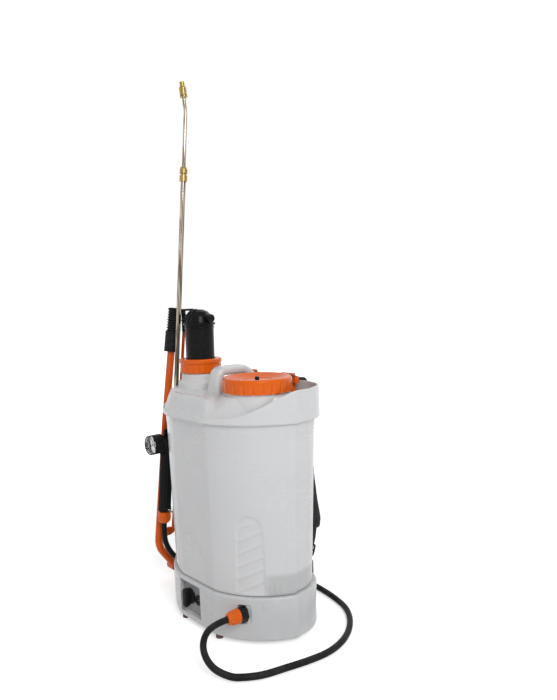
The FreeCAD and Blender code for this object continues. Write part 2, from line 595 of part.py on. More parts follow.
def dome_port_cap():
    """Screw cap on the dome's port."""
    start = PORT_X + GAP
    solid = rod(PORT_RADIUS, (start, PORT_Y, PORT_Z), (start + 6, PORT_Y, PORT_Z))
    solid = solid.fuse(rod(PORT_RADIUS - 3 - GAP, (start + 1, PORT_Y, PORT_Z), (start - 8, PORT_Y, PORT_Z)))
    return solid.cut(box((start + 4, PORT_Y - 7, PORT_Z - 1.2), (start + 9, PORT_Y + 7, PORT_Z + 1.2)))


def rod_clip():
    """Steel wire clip beside the slot in the pump's arm."""
    x, y, z = PLATE_X + 3, ROD_HEAD[0] + 16, ROD_HEAD[1] - 24
    points = [V(x, y, z), V(x, y + 7, z), V(x, y + 7, z + 20), V(x, y, z + 20)]
    return swept(points, [4.0, 4.0], 1.1)


# ---- lever and connecting rod ----------------------------------------------------------------
def lever_points():
    """Centre line of the lever's tube."""
    return [V(LEVER_X, PIVOT_Y, PIVOT_Z), V(LEVER_X, -16, 86), V(LEVER_X, 17, 362),
            V(LEVER_X, 50, LEVER_TOP_Z - 12)]


def lever_axis_point(z):
    """Point on the lever's upper stretch at a height."""
    low, high = lever_points()[2:]
    share = (z - low.z) / (high.z - low.z)
    return (LEVER_X, low.y + share * (high.y - low.y), z)


def lever_tube():
    """Bent tube with its hub on the pivot pin and a lug for the connecting rod."""
    tube = swept(lever_points(), [46.0, 900.0], LEVER_RADIUS)
    hub = rod(HUB_RADIUS, (LEVER_X - 11, PIVOT_Y, PIVOT_Z), (LEVER_X + 11, PIVOT_Y, PIVOT_Z))
    lug = rod(8.5, (LEVER_X + 1, ROD_FOOT[0], ROD_FOOT[1]), (LEVER_X + 6, ROD_FOOT[0], ROD_FOOT[1]))
    lug = lug.fuse(box((LEVER_X + 1, -12, ROD_FOOT[1] - 8.5), (LEVER_X + 6, ROD_FOOT[0], ROD_FOOT[1] + 8.5)))
    solid = tube.fuse([hub, lug])
    pin = rod(PIN_RADIUS + RUN_FIT, (LEVER_X - 20, PIVOT_Y, PIVOT_Z), (LEVER_X + 20, PIVOT_Y, PIVOT_Z))
    return solid.cut([pin,
                      rod(ROD_RADIUS + RUN_FIT, (LEVER_X - 5, *ROD_FOOT), (LEVER_X + 15, *ROD_FOOT))])


def lever_pivot_pin():
    """Pin through the lever's hub into the base's boss, with a flat head outside."""
    end = -HALF_WIDTH + 45 + 10
    pin = rod(PIN_RADIUS, (end, PIVOT_Y, PIVOT_Z), (LEVER_X - 11 - SEAT, PIVOT_Y, PIVOT_Z))
    head = rod(PIN_RADIUS + 4, (LEVER_X - 11 - SEAT, PIVOT_Y, PIVOT_Z), (LEVER_X - 15, PIVOT_Y, PIVOT_Z))
    return pin.fuse(head)


def lever_sleeve():
    """Smooth lower half of the lever's grip."""
    low = LEVER_TOP_Z - GRIP_LENGTH - SLEEVE_LENGTH
    start, end = lever_axis_point(low), lever_axis_point(low + SLEEVE_LENGTH)
    return ring(SLEEVE_RADIUS, LEVER_RADIUS + RUN_FIT, start, end)


def lever_grip():
    """Upper half of the grip, with finger ribs and a closed end."""
    low = LEVER_TOP_Z - GRIP_LENGTH
    start, end = V(*lever_axis_point(low)), V(*lever_axis_point(LEVER_TOP_Z))
    way = (end - start)
    length = way.Length
    way.normalize()
    parts = [Part.makeCylinder(GRIP_RADIUS - 1.6, length, start, way)]
    for index in range(8):
        parts.append(Part.makeCylinder(GRIP_RADIUS, 3.0, start + way * (1 + index * (length - 5) / 7), way))
    solid = parts[0].fuse(parts[1:])
    return solid.cut(Part.makeCylinder(LEVER_RADIUS + RUN_FIT, length - 8, start - way * 0.001, way))


def connecting_rod():
    """Round rod with both ends bent: one pin in the lever's lug, one in the pump's arm."""
    foot, head = V(ROD_X, *ROD_FOOT), V(ROD_X, *ROD_HEAD)
    low_end = V(LEVER_X - 2, *ROD_FOOT)
    high_end = V(PLATE_X + 9, *ROD_HEAD)
    return swept([low_end, foot, head, high_end], [5.0, 5.0], ROD_RADIUS)


# ---- trigger handle --------------------------------------------------------------------------
def gun_hose_nut():
    """Nut at the handle's lower end that holds the hose."""
    low, high = GUN_FOOT[1], GUN_FOOT[1] + GUN_NUT_LENGTH
    way = V(*gun_point(high)) - V(*gun_point(low))
    profile = [(HOSE_RADIUS + GAP, 0), (9.5, 0), (13.0, 5), (13.6, 16), (13.0, GUN_NUT_LENGTH - 0.2),
               (HOSE_RADIUS + GAP, GUN_NUT_LENGTH - 0.2)]
    return turned(profile, *gun_point(low), way)


def gun_grip():
    """Long fluted grip sleeve."""
    low, high = V(*gun_point(GUN_FOOT[1] + GUN_NUT_LENGTH + 2)), V(*gun_point(GRIP_TOP_Z))
    way = (high - low)
    length = way.Length
    spigot = rod(6.5, gun_point(GUN_FOOT[1] + GUN_NUT_LENGTH), gun_point(GUN_FOOT[1] + GUN_NUT_LENGTH + 3))
    solid = Part.makeCylinder(GUN_GRIP_RADIUS, length, low, way).fuse(spigot)
    grooves = []
    for index in range(12):
        groove = Part.makeCylinder(1.6, length - 14, V(GUN_GRIP_RADIUS + 0.6, 0, 7))
        groove.rotate(V(0, 0, 0), Z_AXIS, 30 * index)
        groove.Placement = FreeCAD.Placement(low, FreeCAD.Rotation(Z_AXIS, way)).multiply(groove.Placement)
        grooves.append(groove)
    y, z = gun_point(BAIL_PIVOT_Z)[1:]
    grooves.append(rod(BAIL_WIRE + GAP, (GUN_X - 20, y, z), (GUN_X + 20, y, z)))
    return solid.cut(grooves)


def gun_body():
    """Valve body above the grip: branch for the gauge, elbow to the lance and a hanging eye."""
    low, high = GRIP_TOP_Z, GUN_HEAD[1] + 22
    body = rod(VALVE_RADIUS, gun_point(low), gun_point(high))
    middle_y = gun_point(GAUGE_Z)[1]
    branch = rod(7.0, (GUN_X, middle_y, GAUGE_Z), (GUN_X, middle_y - VALVE_RADIUS - 3, GAUGE_Z))
    elbow = rod(8.0, gun_point(GUN_HEAD[1] + 6), lance_point(LANCE_FOOT[1] - 4))
    socket = rod(8.0, lance_point(LANCE_FOOT[1] - 6), lance_point(LANCE_FOOT[1]))
    eye_y = gun_point(high)[1] - 2
    eye = box((GUN_X - 2.5, eye_y - 6, high - 4), (GUN_X + 2.5, eye_y + 3, high + 16))
    return body.fuse([branch, elbow, socket, eye])


BRACKET_HALF = 5.0
TRIGGER_PIVOT = (20.0, 301.0)    # y, z of the trigger's pivot


def trigger_bracket():
    """Two cheeks on the handle's back that carry the trigger's pivot."""
    y, z = TRIGGER_PIVOT
    back = gun_point(z)[1] + VALVE_RADIUS - 2
    low, high = GRIP_TOP_Z + GAP, z + 7
    cheeks = [box((GUN_X - 9, back - 2, low), (GUN_X - BRACKET_HALF, y + 6, high)),
              box((GUN_X + BRACKET_HALF, back - 2, low), (GUN_X + 9, y + 6, high))]
    web = box((GUN_X - 9, back - 2, low), (GUN_X + 9, back + 3.5, high))
    return web.fuse(cheeks).cut([rod(2.5 + RUN_FIT, (GUN_X - 20, y, z), (GUN_X + 20, y, z)),
                                 rod(VALVE_RADIUS, gun_point(GRIP_TOP_Z - 5), gun_point(high + 5))])


def trigger_screw():
    """Screw through the cheeks and the trigger, with its head on the tank's side."""
    y, z = TRIGGER_PIVOT
    head = rod(4.5, (GUN_X + 9, y, z), (GUN_X + 11.5, y, z))
    return rod(2.5, (GUN_X - 10, y, z), (GUN_X + 9, y, z)).fuse(head)


def trigger():
    """Long squeeze lever along the handle's back."""
    y, z = TRIGGER_PIVOT
    half = BRACKET_HALF - GAP
    x0, x1 = GUN_X - half, GUN_X + half
    profile = [V(x0, y - 5, z + 4), V(x0, y + 5, z + 4), V(x0, y + 7, z - 10), V(x0, y + 6, z - 60),
               V(x0, y + 3, z - 108), V(x0, y + 0, z - 112), V(x0, y - 1, z - 105), V(x0, y + 1, z - 60),
               V(x0, y + 1, z - 14), V(x0, y - 5, z - 6)]
    solid = Part.Face(Part.makePolygon(profile + [profile[0]])).extrude(V(x1 - x0, 0, 0))
    return solid.cut(rod(2.5 + RUN_FIT, (x0 - 1, y, z), (x1 + 1, y, z)))




def trigger_bail():
    """Wire loop at the handle's foot that locks the trigger."""
    y = gun_point(BAIL_PIVOT_Z)[1]
    side = GUN_GRIP_RADIUS + 1.6
    top, end = (y, BAIL_PIVOT_Z), (y + 18, BAIL_PIVOT_Z - 14)
    points = [V(GUN_X - side + 3.2, *top), V(GUN_X - side, *top), V(GUN_X - side, *end),
              V(GUN_X + side, *end),
              V(GUN_X + side, *top), V(GUN_X + side - 3.2, *top)]
    return swept(points, [1.4, 5.0, 5.0, 1.4], BAIL_WIRE)


def gauge_case():
    """Round gauge case open at its face."""
    back_y = gun_point(GAUGE_Z)[1] - VALVE_RADIUS - 3
    profile = [(0, 0), (GAUGE_RADIUS - 2, 0), (GAUGE_RADIUS, 3), (GAUGE_RADIUS, GAUGE_DEPTH),
               (GAUGE_RADIUS - 1.8, GAUGE_DEPTH), (GAUGE_RADIUS - 1.8, 8), (0, 8)]
    return turned(profile, GUN_X, back_y, GAUGE_Z, V(0, -1, 0))


def gauge_face(depth):
    """A y measured from the back of the gauge's case."""
    return gun_point(GAUGE_Z)[1] - VALVE_RADIUS - 3 - depth


def gauge_dial():
    """White dial plate."""
    return rod(GAUGE_RADIUS - 2.2, (GUN_X, gauge_face(14), GAUGE_Z), (GUN_X, gauge_face(15.2), GAUGE_Z)).fuse(
        rod(4, (GUN_X, gauge_face(8), GAUGE_Z), (GUN_X, gauge_face(14.5), GAUGE_Z)))


def gauge_needle():
    """Pointer and its hub."""
    low, high = gauge_face(15.2 + GAP), gauge_face(16.6)
    needle = box((GUN_X - 0.7, high, GAUGE_Z - 5), (GUN_X + 0.7, low - 0.4, GAUGE_Z + 13))
    return needle.fuse(rod(2.6, (GUN_X, low, GAUGE_Z), (GUN_X, gauge_face(18), GAUGE_Z)))


def gauge_lens():
    """Clear cover with a rim."""
    inside = GAUGE_RADIUS - 1.8 - RUN_FIT
    profile = [(0, 22.2), (inside, 22.2), (inside, GAUGE_DEPTH), (GAUGE_RADIUS, GAUGE_DEPTH),
               (GAUGE_RADIUS, GAUGE_DEPTH + 2.4),
               (GAUGE_RADIUS - 3.2, GAUGE_DEPTH + 2.8), (0, GAUGE_DEPTH - 1)]
    return turned(profile, GUN_X, gauge_face(0), GAUGE_Z, V(0, -1, 0))


# ---- lance -----------------------------------------------------------------------------------
def lance_nut():
    """Collar that clamps the lance in the valve's socket."""
    low, high = lance_point(LANCE_FOOT[1] + SEAT), lance_point(LANCE_FOOT[1] + 20)
    return ring(9.0, OUTER_TUBE_RADIUS + RUN_FIT, low, high)


def lance_outer_tube():
    """Lower steel tube."""
    foot, head = lance_point(LANCE_FOOT[1]), lance_point(LOCK_NUT_Z)
    return ring(OUTER_TUBE_RADIUS, OUTER_TUBE_RADIUS - TUBE_WALL, foot, head)


def lance_sleeve():
    """Fixed brass half of the telescopic lock on the lower tube's end."""
    middle = LOCK_NUT_Z + LOCK_NUT_LENGTH * 0.42
    low, high = lance_point(LOCK_NUT_Z), lance_point(middle)
    return ring(8.0, INNER_TUBE_RADIUS + GAP, low, high)


def lance_lock_nut():
    """Turning brass half of the telescopic lock."""
    low = lance_point(LOCK_NUT_Z + LOCK_NUT_LENGTH * 0.42 + GAP)
    high = lance_point(LOCK_NUT_Z + LOCK_NUT_LENGTH)
    a, b = V(*low), V(*high)
    profile = [(INNER_TUBE_RADIUS + GAP, 0), (6.2, 0), (6.2, 3), (8.0, 4), (8.0, (b - a).Length - 4),
               (6.6, (b - a).Length), (INNER_TUBE_RADIUS + GAP, (b - a).Length)]
    return turned(profile, *low, b - a)


def nozzle_point(along):
    """Point past the lance's bend, by its distance from the bend."""
    x, y, z = lance_point(BEND_Z)
    angle = radians(NOZZLE_TILT)
    return (x, y - along * sin(angle), z + along * cos(angle))


NOZZLE_START = 28.0


def lance_inner_tube():
    """Upper thin tube, sliding in the lower one and bent near its end."""
    inside = OUTER_TUBE_RADIUS - TUBE_WALL
    low = lance_point(LANCE_FOOT[1] + 90)
    points = [V(*low), V(*lance_point(BEND_Z)), V(*nozzle_point(NOZZLE_START))]
    return swept(points, [60.0], min(INNER_TUBE_RADIUS, inside - RUN_FIT))


def nozzle_body():
    """Brass body screwed on the lance's end."""
    low, high = nozzle_point(NOZZLE_START), nozzle_point(NOZZLE_START + 20)
    profile = [(0, 0), (8.0, 0), (8.0, 3), (6.4, 4), (5.0, 4), (5.0, 14), (0, 14)]
    return turned(profile, *low, V(*high) - V(*low))


def nozzle_cap():
    """Adjustable brass spray cap."""
    low, high = nozzle_point(NOZZLE_START + 4 + GAP), nozzle_point(NOZZLE_START + 40)
    profile = [(5.0 + GAP, 0), (7.6, 0), (7.6, 15), (6.6, 17), (5.2, 17.5), (5.2, 27), (2.2, 27), (1.0, 24),
               (1.0, 11), (5.0 + GAP, 11)]
    return turned(profile, *low, V(*high) - V(*low))


def lance_clip():
    """Clip on the tank's end that holds the parked lance."""
    z = LANCE_FOOT[1] + 34
    x, y, _ = lance_point(z)
    wall = walls(-WALL_INSET, SEAM_Z, RIM_OUTSET, RIM_Z)
    arm = box((x, y - 6, z - 8), (x + 45, y + 6, z + 8)).cut(wall)
    arm = arm.fuse(box((x + 3, y - 10, z - 8), (x + 6, y + 10, z + 8)))
    solid = arm.fuse(rod(10.5, (x, y, z - 8), (x, y, z + 8)))
    low, high = lance_point(z - 12), lance_point(z + 12)
    bore = rod(OUTER_TUBE_RADIUS + 0.4, low, high)
    mouth = box((x - 20, y - 3.4, z - 9), (x, y + 3.4, z + 9))
    return solid.cut([bore, mouth, wall])


# ---- hose ------------------------------------------------------------------------------------
def hose_route():
    """Points of the hose's route from the outlet's nut to the handle's nut."""
    out = V(sin(radians(FITTING_TURN)), -cos(radians(FITTING_TURN)), 0)
    start = V(FITTING_X, PAD_Y, FITTING_Z) + out * (HEX_LENGTH + GAP + HOSE_NUT_LENGTH - HOSE_IN)
    up = (V(*gun_point(GUN_HEAD[1])) - V(*gun_point(GUN_FOOT[1]))).normalize()
    end = V(*gun_point(GUN_FOOT[1])) + up * HOSE_IN
    return [start, start + out * 38, V(112, -138, 45), V(142, -144, 22), V(170, -124, 7), V(187, -104, 6),
            V(203, -80, 6), V(214, -44, 6), V(228, -1, 6), V(237, 45, 6), V(228, 95, 6), V(202, 140, 6),
            V(164, 175, 6), V(119, 191, 6), V(73, 199, 7), V(26, 203, 7),
            V(-22, 203, 7), V(-66, 208, 6), V(-110, 207, 6), V(-150, 190, 6), V(-177, 158, 6),
            V(-187, 124, 7), V(-186, 94, 13), V(-184, 64, 28), V(-182, 38, 43), V(-181, 14, 56),
            V(-181, -6, 82), end - up * 38, end]


def hose_radii(points):
    """Arc radius at each inner point: as large as its two runs allow."""
    radii = []
    for before, corner, after in zip(points, points[1:], points[2:]):
        first, second = corner - before, after - corner
        turn = first.getAngle(second)
        radii.append(0.45 * min(first.Length, second.Length) / tan(turn / 2))
    return radii


def hose():
    """Rubber hose, laid on the floor round the tank."""
    points = hose_route()
    radii = hose_radii(points)
    solid = swept(points, radii, HOSE_RADIUS)
    length = rounded_path(points, radii).Length
    print("hose radii", [round(r) for r in radii])
    print("hose length", round(length), "volume over section x length",
          round(solid.Volume / (pi * HOSE_RADIUS ** 2 * length), 4))
    return solid


# ---- harness ---------------------------------------------------------------------------------
STRAP_MIDDLE_X = 26.0       # the two straps hang either side of this
HOOK_REACH, ANCHOR_REACH = 54.0, 54.0   # from there to the hooks and to the lower anchors
STRAP_WIDTH = 50.0
STRAP_THICK = 12.0
HOOK_Z = RIM_Z + 64.0


def strap_stations(side):
    """Middle of the strap and its lean, from the hook down to the lower end, as (x, y, z, lean)."""
    line = [(118, HOOK_Z, 85), (139, HOOK_Z - 1, 80), (151, HOOK_Z - 15, 45), (153, HOOK_Z - 50, 5),
            (146, 335, 3), (149, 270, 10), (157, 215, 11), (166, 172, -4), (157, 135, -24), (144, 105, -26)]
    top = line[0][1]
    stations = []
    for y, z, lean in line:
        share = (top - z) / (top - line[-1][1])
        reach = HOOK_REACH + share * (ANCHOR_REACH - HOOK_REACH)
        stations.append((STRAP_MIDDLE_X + side * reach, y, z, lean))
    return stations


def shoulder_strap(side):
    """Padded strap from its hook, over the spill guard and down behind the tank's back."""
    wires = []
    for index, (x, y, z, lean) in enumerate(strap_stations(side)):
        half = STRAP_THICK / 2 if 2 < index else 2.5
        out = V(0, cos(radians(lean)), sin(radians(lean))) * half
        across = V(STRAP_WIDTH / 2, 0, 0)
        middle = V(x, y, z)
        points = [middle - across - out, middle + across - out, middle + across + out, middle - across + out]
        wires.append(Part.makePolygon(points + [points[0]]))
    return Part.makeLoft(wires, True, True)


def strap_hooks():
    """Two moulded hooks at the top of the tank's back."""
    hooks = []
    for side in (-1, 1):
        x = STRAP_MIDDLE_X + side * HOOK_REACH
        post = box((x - 16, 108, DECK_Z), (x + 16, 115, HOOK_Z + 10))
        hook = post.fuse(box((x - 26, 105, HOOK_Z - 8), (x + 26, 115, HOOK_Z + 4)))
        hooks.append(hook.cut(shoulder_block()))
    return Part.makeCompound(hooks)


def strap_anchors():
    """Lower strap loops on the base's back."""
    anchors = []
    for side in (-1, 1):
        x = STRAP_MIDDLE_X + side * ANCHOR_REACH
        foot = box((x - 14, 112, 66), (x + 14, 140, 76)).cut(walls(-1.0, BASE_Z, 0.0, SEAM_Z))
        anchors.append(foot.fuse(box((x - 25, 136, 66), (x + 25, 143, 97))))
    return Part.makeCompound(anchors)


# ---- export ----------------------------------------------------------------------------------
NODES = {
    "tank_shell": tank_shell,
    "carrying_handle": carrying_handle,
    "base_housing": base_housing,
    "base_plate": base_plate,
    "rubber_feet": rubber_feet,
    "base_screws": base_screws,
    "control_panel": control_panel,
    "speed_knob": speed_knob,
    "charge_socket": charge_socket,
    "socket_contact": socket_contact,
    "battery_pack": battery_pack,
    "electric_pump": electric_pump,
    "outlet_fitting": outlet_fitting,
    "tank_hose_nut": tank_hose_nut,
    "strainer_basket": strainer_basket,
    "cap_gasket": cap_gasket,
    "filler_cap": filler_cap,
    "breather_knob": breather_knob,
    "pump_barrel": pump_barrel,
    "pump_ring_nut": pump_ring_nut,
    "pump_chamber": pump_chamber,
    "pump_dome": pump_dome,
    "dome_port_cap": dome_port_cap,
    "rod_clip": rod_clip,
    "lever_tube": lever_tube,
    "lever_pivot_pin": lever_pivot_pin,
    "lever_sleeve": lever_sleeve,
    "lever_grip": lever_grip,
    "connecting_rod": connecting_rod,
    "gun_hose_nut": gun_hose_nut,
    "gun_grip": gun_grip,
    "gun_body": gun_body,
    "trigger_bracket": trigger_bracket,
    "trigger_screw": trigger_screw,
    "trigger": trigger,
    "trigger_bail": trigger_bail,
    "gauge_case": gauge_case,
    "gauge_dial": gauge_dial,
    "gauge_needle": gauge_needle,
    "gauge_lens": gauge_lens,
    "lance_nut": lance_nut,
    "lance_outer_tube": lance_outer_tube,
    "lance_sleeve": lance_sleeve,
    "lance_lock_nut": lance_lock_nut,
    "lance_inner_tube": lance_inner_tube,
    "nozzle_body": nozzle_body,
    "nozzle_cap": nozzle_cap,
    "lance_clip": lance_clip,
    "hose": hose,
    "shoulder_strap_left": lambda: shoulder_strap(-1),
    "shoulder_strap_right": lambda: shoulder_strap(1),
    "strap_hooks": strap_hooks,
    "strap_anchors": strap_anchors,
}


def main():
    """Builds every node, centres the origin under the object and writes the STEP files."""
    os.makedirs("parts", exist_ok=True)
    shapes = {name: make() for name, make in NODES.items()}
    whole = Part.makeCompound([shape for name, shape in shapes.items() if name != "hose"]).BoundBox
    shift = V(-(whole.XMin + whole.XMax) / 2, -(whole.YMin + whole.YMax) / 2, 0)
    print("origin shift", round(shift.x, 4), round(shift.y, 4), "box", whole)
    for name, shape in shapes.items():
        shape.translate(shift)
        if not shape.isValid():
            print("NOT VALID", name)
        shape.exportStep("parts/" + name + ".step")
        print(name, len(shape.Solids), round(shape.Volume))


main()
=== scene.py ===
"""Dressed model of a backpack sprayer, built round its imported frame.

Shapes are worked out in millimetres round the tank's own axis, with the pump at -X, the filler at
+X and the wearer at +Y, and are put into the frame in metres by ``place``.
"""

import logging
from dataclasses import dataclass
from enum import Enum
from math import cos, pi, radians, sin
from typing import Callable, Optional, Sequence

import bpy
import numpy as np
from mathutils import Matrix, Vector


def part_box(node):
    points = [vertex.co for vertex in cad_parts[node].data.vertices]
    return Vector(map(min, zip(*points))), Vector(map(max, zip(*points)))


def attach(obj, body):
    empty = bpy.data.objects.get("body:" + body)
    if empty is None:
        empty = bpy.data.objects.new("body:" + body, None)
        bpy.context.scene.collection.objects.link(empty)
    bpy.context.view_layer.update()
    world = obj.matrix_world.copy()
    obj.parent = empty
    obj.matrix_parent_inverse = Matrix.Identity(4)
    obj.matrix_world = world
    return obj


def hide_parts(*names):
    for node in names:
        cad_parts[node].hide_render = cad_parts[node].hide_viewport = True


Array = np.ndarray
Pair = tuple[float, float]
Triple = tuple[float, float, float]

logging.basicConfig(level=logging.INFO, format="%(message)s")
log = logging.getLogger("sprayer")
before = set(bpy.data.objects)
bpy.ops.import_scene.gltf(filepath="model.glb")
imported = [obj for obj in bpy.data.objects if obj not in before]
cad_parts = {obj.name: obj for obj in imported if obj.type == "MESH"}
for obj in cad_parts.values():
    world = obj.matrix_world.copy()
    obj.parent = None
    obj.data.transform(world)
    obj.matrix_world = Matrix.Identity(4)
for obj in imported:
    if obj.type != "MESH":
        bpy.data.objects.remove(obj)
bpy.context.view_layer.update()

MM = 0.001
FILLER = (93.0, 21.0)
PUMP = (-94.7, 34.6)
OUTLET = (108.0, -36.0, 58.0)
OUTLET_TURN = radians(-12.0)
OUTLET_WAY = np.array([sin(OUTLET_TURN), -cos(OUTLET_TURN), 0.0])
GUN_X = -181.0
GUN_FOOT, GUN_HEAD = (-14.5, 146.0), (0.5, 306.0)
_low, _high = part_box("strainer_basket")
ORIGIN = np.array([(_low.x + _high.x) / 2 - FILLER[0] * MM, (_low.y + _high.y) / 2 - FILLER[1] * MM, 0.0])


# ---- small mathematics -----------------------------------------------------------------------
def place(points: Array) -> Array:
    """Tank millimetres as metres in the frame."""
    return np.asarray(points, float) * MM + ORIGIN


def unit(vector: Sequence[float]) -> Array:
    """Vector of length one."""
    vector = np.asarray(vector, float)
    return vector / np.linalg.norm(vector)


def ease(value: Array, low: float, high: float) -> Array:
    """Rises from 0 at low to 1 at high: 3t squared less 2t cubed."""
    t = np.clip((np.asarray(value, float) - low) / (high - low), 0.0, 1.0)
    return t * t * (3 - 2 * t)


def higher(a: Array, b: Array, blend: float) -> Array:
    """Larger of two heights, with their crossing rounded over a band of the given depth."""
    near = np.maximum(blend - np.abs(a - b), 0.0) / blend
    return np.maximum(a, b) + near * near * blend / 4


def turns(count: int) -> Array:
    """Evenly spaced angles round a circle, the first not repeated."""
    return np.linspace(0, 2 * pi, count, endpoint=False)


def arc_through(a: Pair, b: Pair, c: Pair, count: int) -> Array:
    """Points on the circle through three points, from the first towards the last, which is left out.

    The centre is found in the complex plane, and the angle runs evenly from a to c by way of b.
    """
    x, y, z = (complex(*p) for p in (a, b, c))
    w = (z - x) / (y - x)
    centre = x - (x - y) * (w - abs(w) ** 2) / (2j * w.imag)
    first, last = np.angle(x - centre), np.angle(z - centre)
    way = np.sign(((y - x).conjugate() * (z - y)).imag)
    last += 2 * pi * way * (way * (last - first) < 0)
    points = centre + abs(x - centre) * np.exp(1j * np.linspace(first, last, count, endpoint=False))
    return np.stack([points.real, points.imag], 1)


def line_between(a: Pair, b: Pair, count: int) -> Array:
    """Even points from a towards b, which is left out."""
    share = np.linspace(0, 1, count, endpoint=False)[:, None]
    return np.asarray(a) * (1 - share) + np.asarray(b) * share


def bend(points: Sequence[Sequence[float]], radii: Sequence[float], steps: int = 8) -> Array:
    """Polyline whose inner corners are rounded by arcs.

    Each arc is centre + (A sin((1-s)t) + B sin(st)) / sin t, with A and B its two end spokes and t
    the turn between the runs.

    Args:
        points: Corners, in two or three dimensions.
        radii: Arc radius at each inner corner; 0 keeps it sharp.
        steps: Parts that each arc is divided into.

    Returns:
        The rounded line's points in order.
    """
    points = np.asarray(points, float)
    out = [points[:1]]
    for before, corner, after, radius in zip(points[:-2], points[1:-1], points[2:], radii):
        way_in, way_out = unit(corner - before), unit(after - corner)
        turn = float(np.arccos(np.clip(way_in @ way_out, -1, 1)))
        if turn < 1e-3 or radius <= 0:
            out.append(corner[None])
            continue
        cut = radius * np.tan(turn / 2)
        centre = corner + unit(way_out - way_in) * radius / np.cos(turn / 2)
        spoke_in, spoke_out = corner - way_in * cut - centre, corner + way_out * cut - centre
        s = np.linspace(0, 1, steps + 1)[:, None]
        out.append(centre + (spoke_in * np.sin((1 - s) * turn) + spoke_out * np.sin(s * turn)) / np.sin(turn))
    out.append(points[-1:])
    return np.vstack(out)


def spaced(path: Array, step: float) -> Array:
    """The same line with points at even distances no larger than step."""
    along = np.concatenate([[0.0], np.cumsum(np.linalg.norm(np.diff(path, axis=0), axis=1))])
    even = np.linspace(0, along[-1], max(2, int(np.ceil(along[-1] / step)) + 1))
    return np.stack([np.interp(even, along, path[:, k]) for k in range(path.shape[1])], 1)


def refined(outline: Array, count: int, step: float) -> Array:
    """The outline with its first count points, the side that is seen, made even and fine."""
    return np.vstack([spaced(outline[:count], step), outline[count:]])


def even_loop(section: Array, step: float) -> Array:
    """A closed section with points at even distances no larger than step."""
    return spaced(np.vstack([section, section[:1]]), step)[:-1]


def on_axis(x: float, low: Pair, high: Pair, z: float) -> Triple:
    """Point at a height on the line through two (y, z) points in the plane of the given x."""
    share = (z - low[1]) / (high[1] - low[1])
    return (x, low[0] + share * (high[0] - low[0]), z)


def axes_about(way: Sequence[float]) -> tuple[Array, Array, Array]:
    """Right-handed axes whose third lies along the given direction."""
    z = unit(way)
    helper = np.array([0.0, 0.0, 1.0]) if abs(z[2]) < 0.9 else np.array([0.0, 1.0, 0.0])
    x = unit(np.cross(helper, z))
    return x, np.cross(z, x), z


# ---- meshes ----------------------------------------------------------------------------------
class Ends(Enum):
    """What closes a grid at its first and last row."""

    OPEN = 0
    POLES = 1
    RING = 2


class Shape:
    """Vertices and faces gathered from one or more grids."""

    def __init__(self) -> None:
        """Starts empty."""
        self.points: list[Array] = []
        self.faces: list[list[int]] = []
        self.cloth: list[Array] = []
        self.count = 0

    def grid(self, points: Array, ends: Ends = Ends.POLES, around: bool = True,
             cloth: Optional[Array] = None) -> "Shape":
        """Adds a surface given as rows of points.

        Args:
            points: Array of rows, columns and x, y, z; columns run anticlockwise and rows outward or up.
            ends: How the first and last row are closed. A pole is the row's mean; RING joins them.
            around: Whether the last column joins the first.
            cloth: Across and along distances for woven finishes, one pair for each point.

        Returns:
            The shape itself.
        """
        rows, columns = points.shape[:2]
        index = self.count + np.arange(rows * columns).reshape(rows, columns)
        flat = points.reshape(-1, 3)
        extra = []
        if around:
            index = np.hstack([index, index[:, :1]])
        if ends is Ends.RING:
            index = np.vstack([index, index[:1]])
        quads = np.stack([index[:-1, :-1], index[:-1, 1:], index[1:, 1:], index[1:, :-1]], -1)
        self.faces += quads.reshape(-1, 4).tolist()
        if ends is Ends.POLES:
            low, high = self.count + len(flat), self.count + len(flat) + 1
            extra = [points[0].mean(0), points[-1].mean(0)]
            first, last = index[0], index[-1]
            self.faces += np.stack([first[1:], first[:-1], np.full(len(first) - 1, low)], 1).tolist()
            self.faces += np.stack([last[:-1], last[1:], np.full(len(last) - 1, high)], 1).tolist()
        self.points.append(np.vstack([flat, *extra]) if extra else flat)
        pairs = np.zeros((len(flat), 2)) if cloth is None else cloth.reshape(-1, 2)
        self.cloth.append(np.vstack([pairs, np.zeros((len(extra), 2))]))
        self.count += len(flat) + len(extra)
        return self

    def mesh(self, name: str, sharp: float) -> bpy.types.Mesh:
        """Blender mesh of the shape, in metres, smooth but for edges sharper than the given degrees."""
        data = bpy.data.meshes.new(name)
        data.from_pydata(place(np.vstack(self.points)), [], self.faces)
        pairs = np.vstack(self.cloth)
        if pairs.any():
            layer = data.attributes.new("cloth", "FLOAT_VECTOR", "POINT")
            layer.data.foreach_set("vector", np.hstack([pairs * MM, np.zeros((len(pairs), 1))]).ravel())
        data.shade_smooth()
        data.set_sharp_from_angle(angle=radians(sharp))
        data.update()
        return data


Ripple = Callable[[Array, Array, Array], Array]


def lathe(shape: Shape, profile: Array, start: Sequence[float], way: Sequence[float], around: int = 64,
          ripple: Optional[Ripple] = None, ends: Ends = Ends.POLES) -> Shape:
    """Adds a turned surface: start + r cos(a) X + r sin(a) Y + h Z, with r changed by the ripple.

    Args:
        shape: Where the surface goes.
        profile: Radius and height of each row, from the foot's middle outward, up and in again.
        start: Point on the axis at height 0.
        way: Direction of the axis.
        around: Number of columns.
        ripple: Change of radius from angle, radius and height.
        ends: How the first and last row close.

    Returns:
        The shape.
    """
    profile = np.asarray(profile, float)
    x, y, z = axes_about(way)
    angle = turns(around)[None, :]
    radius, height = profile[:, :1], profile[:, 1:]
    radius = radius + (ripple(angle, radius, height) if ripple else 0 * angle)
    points = (np.asarray(start, float) + (radius * np.cos(angle))[..., None] * x
              + (radius * np.sin(angle))[..., None] * y + (height + 0 * angle)[..., None] * z)
    return shape.grid(points, ends)


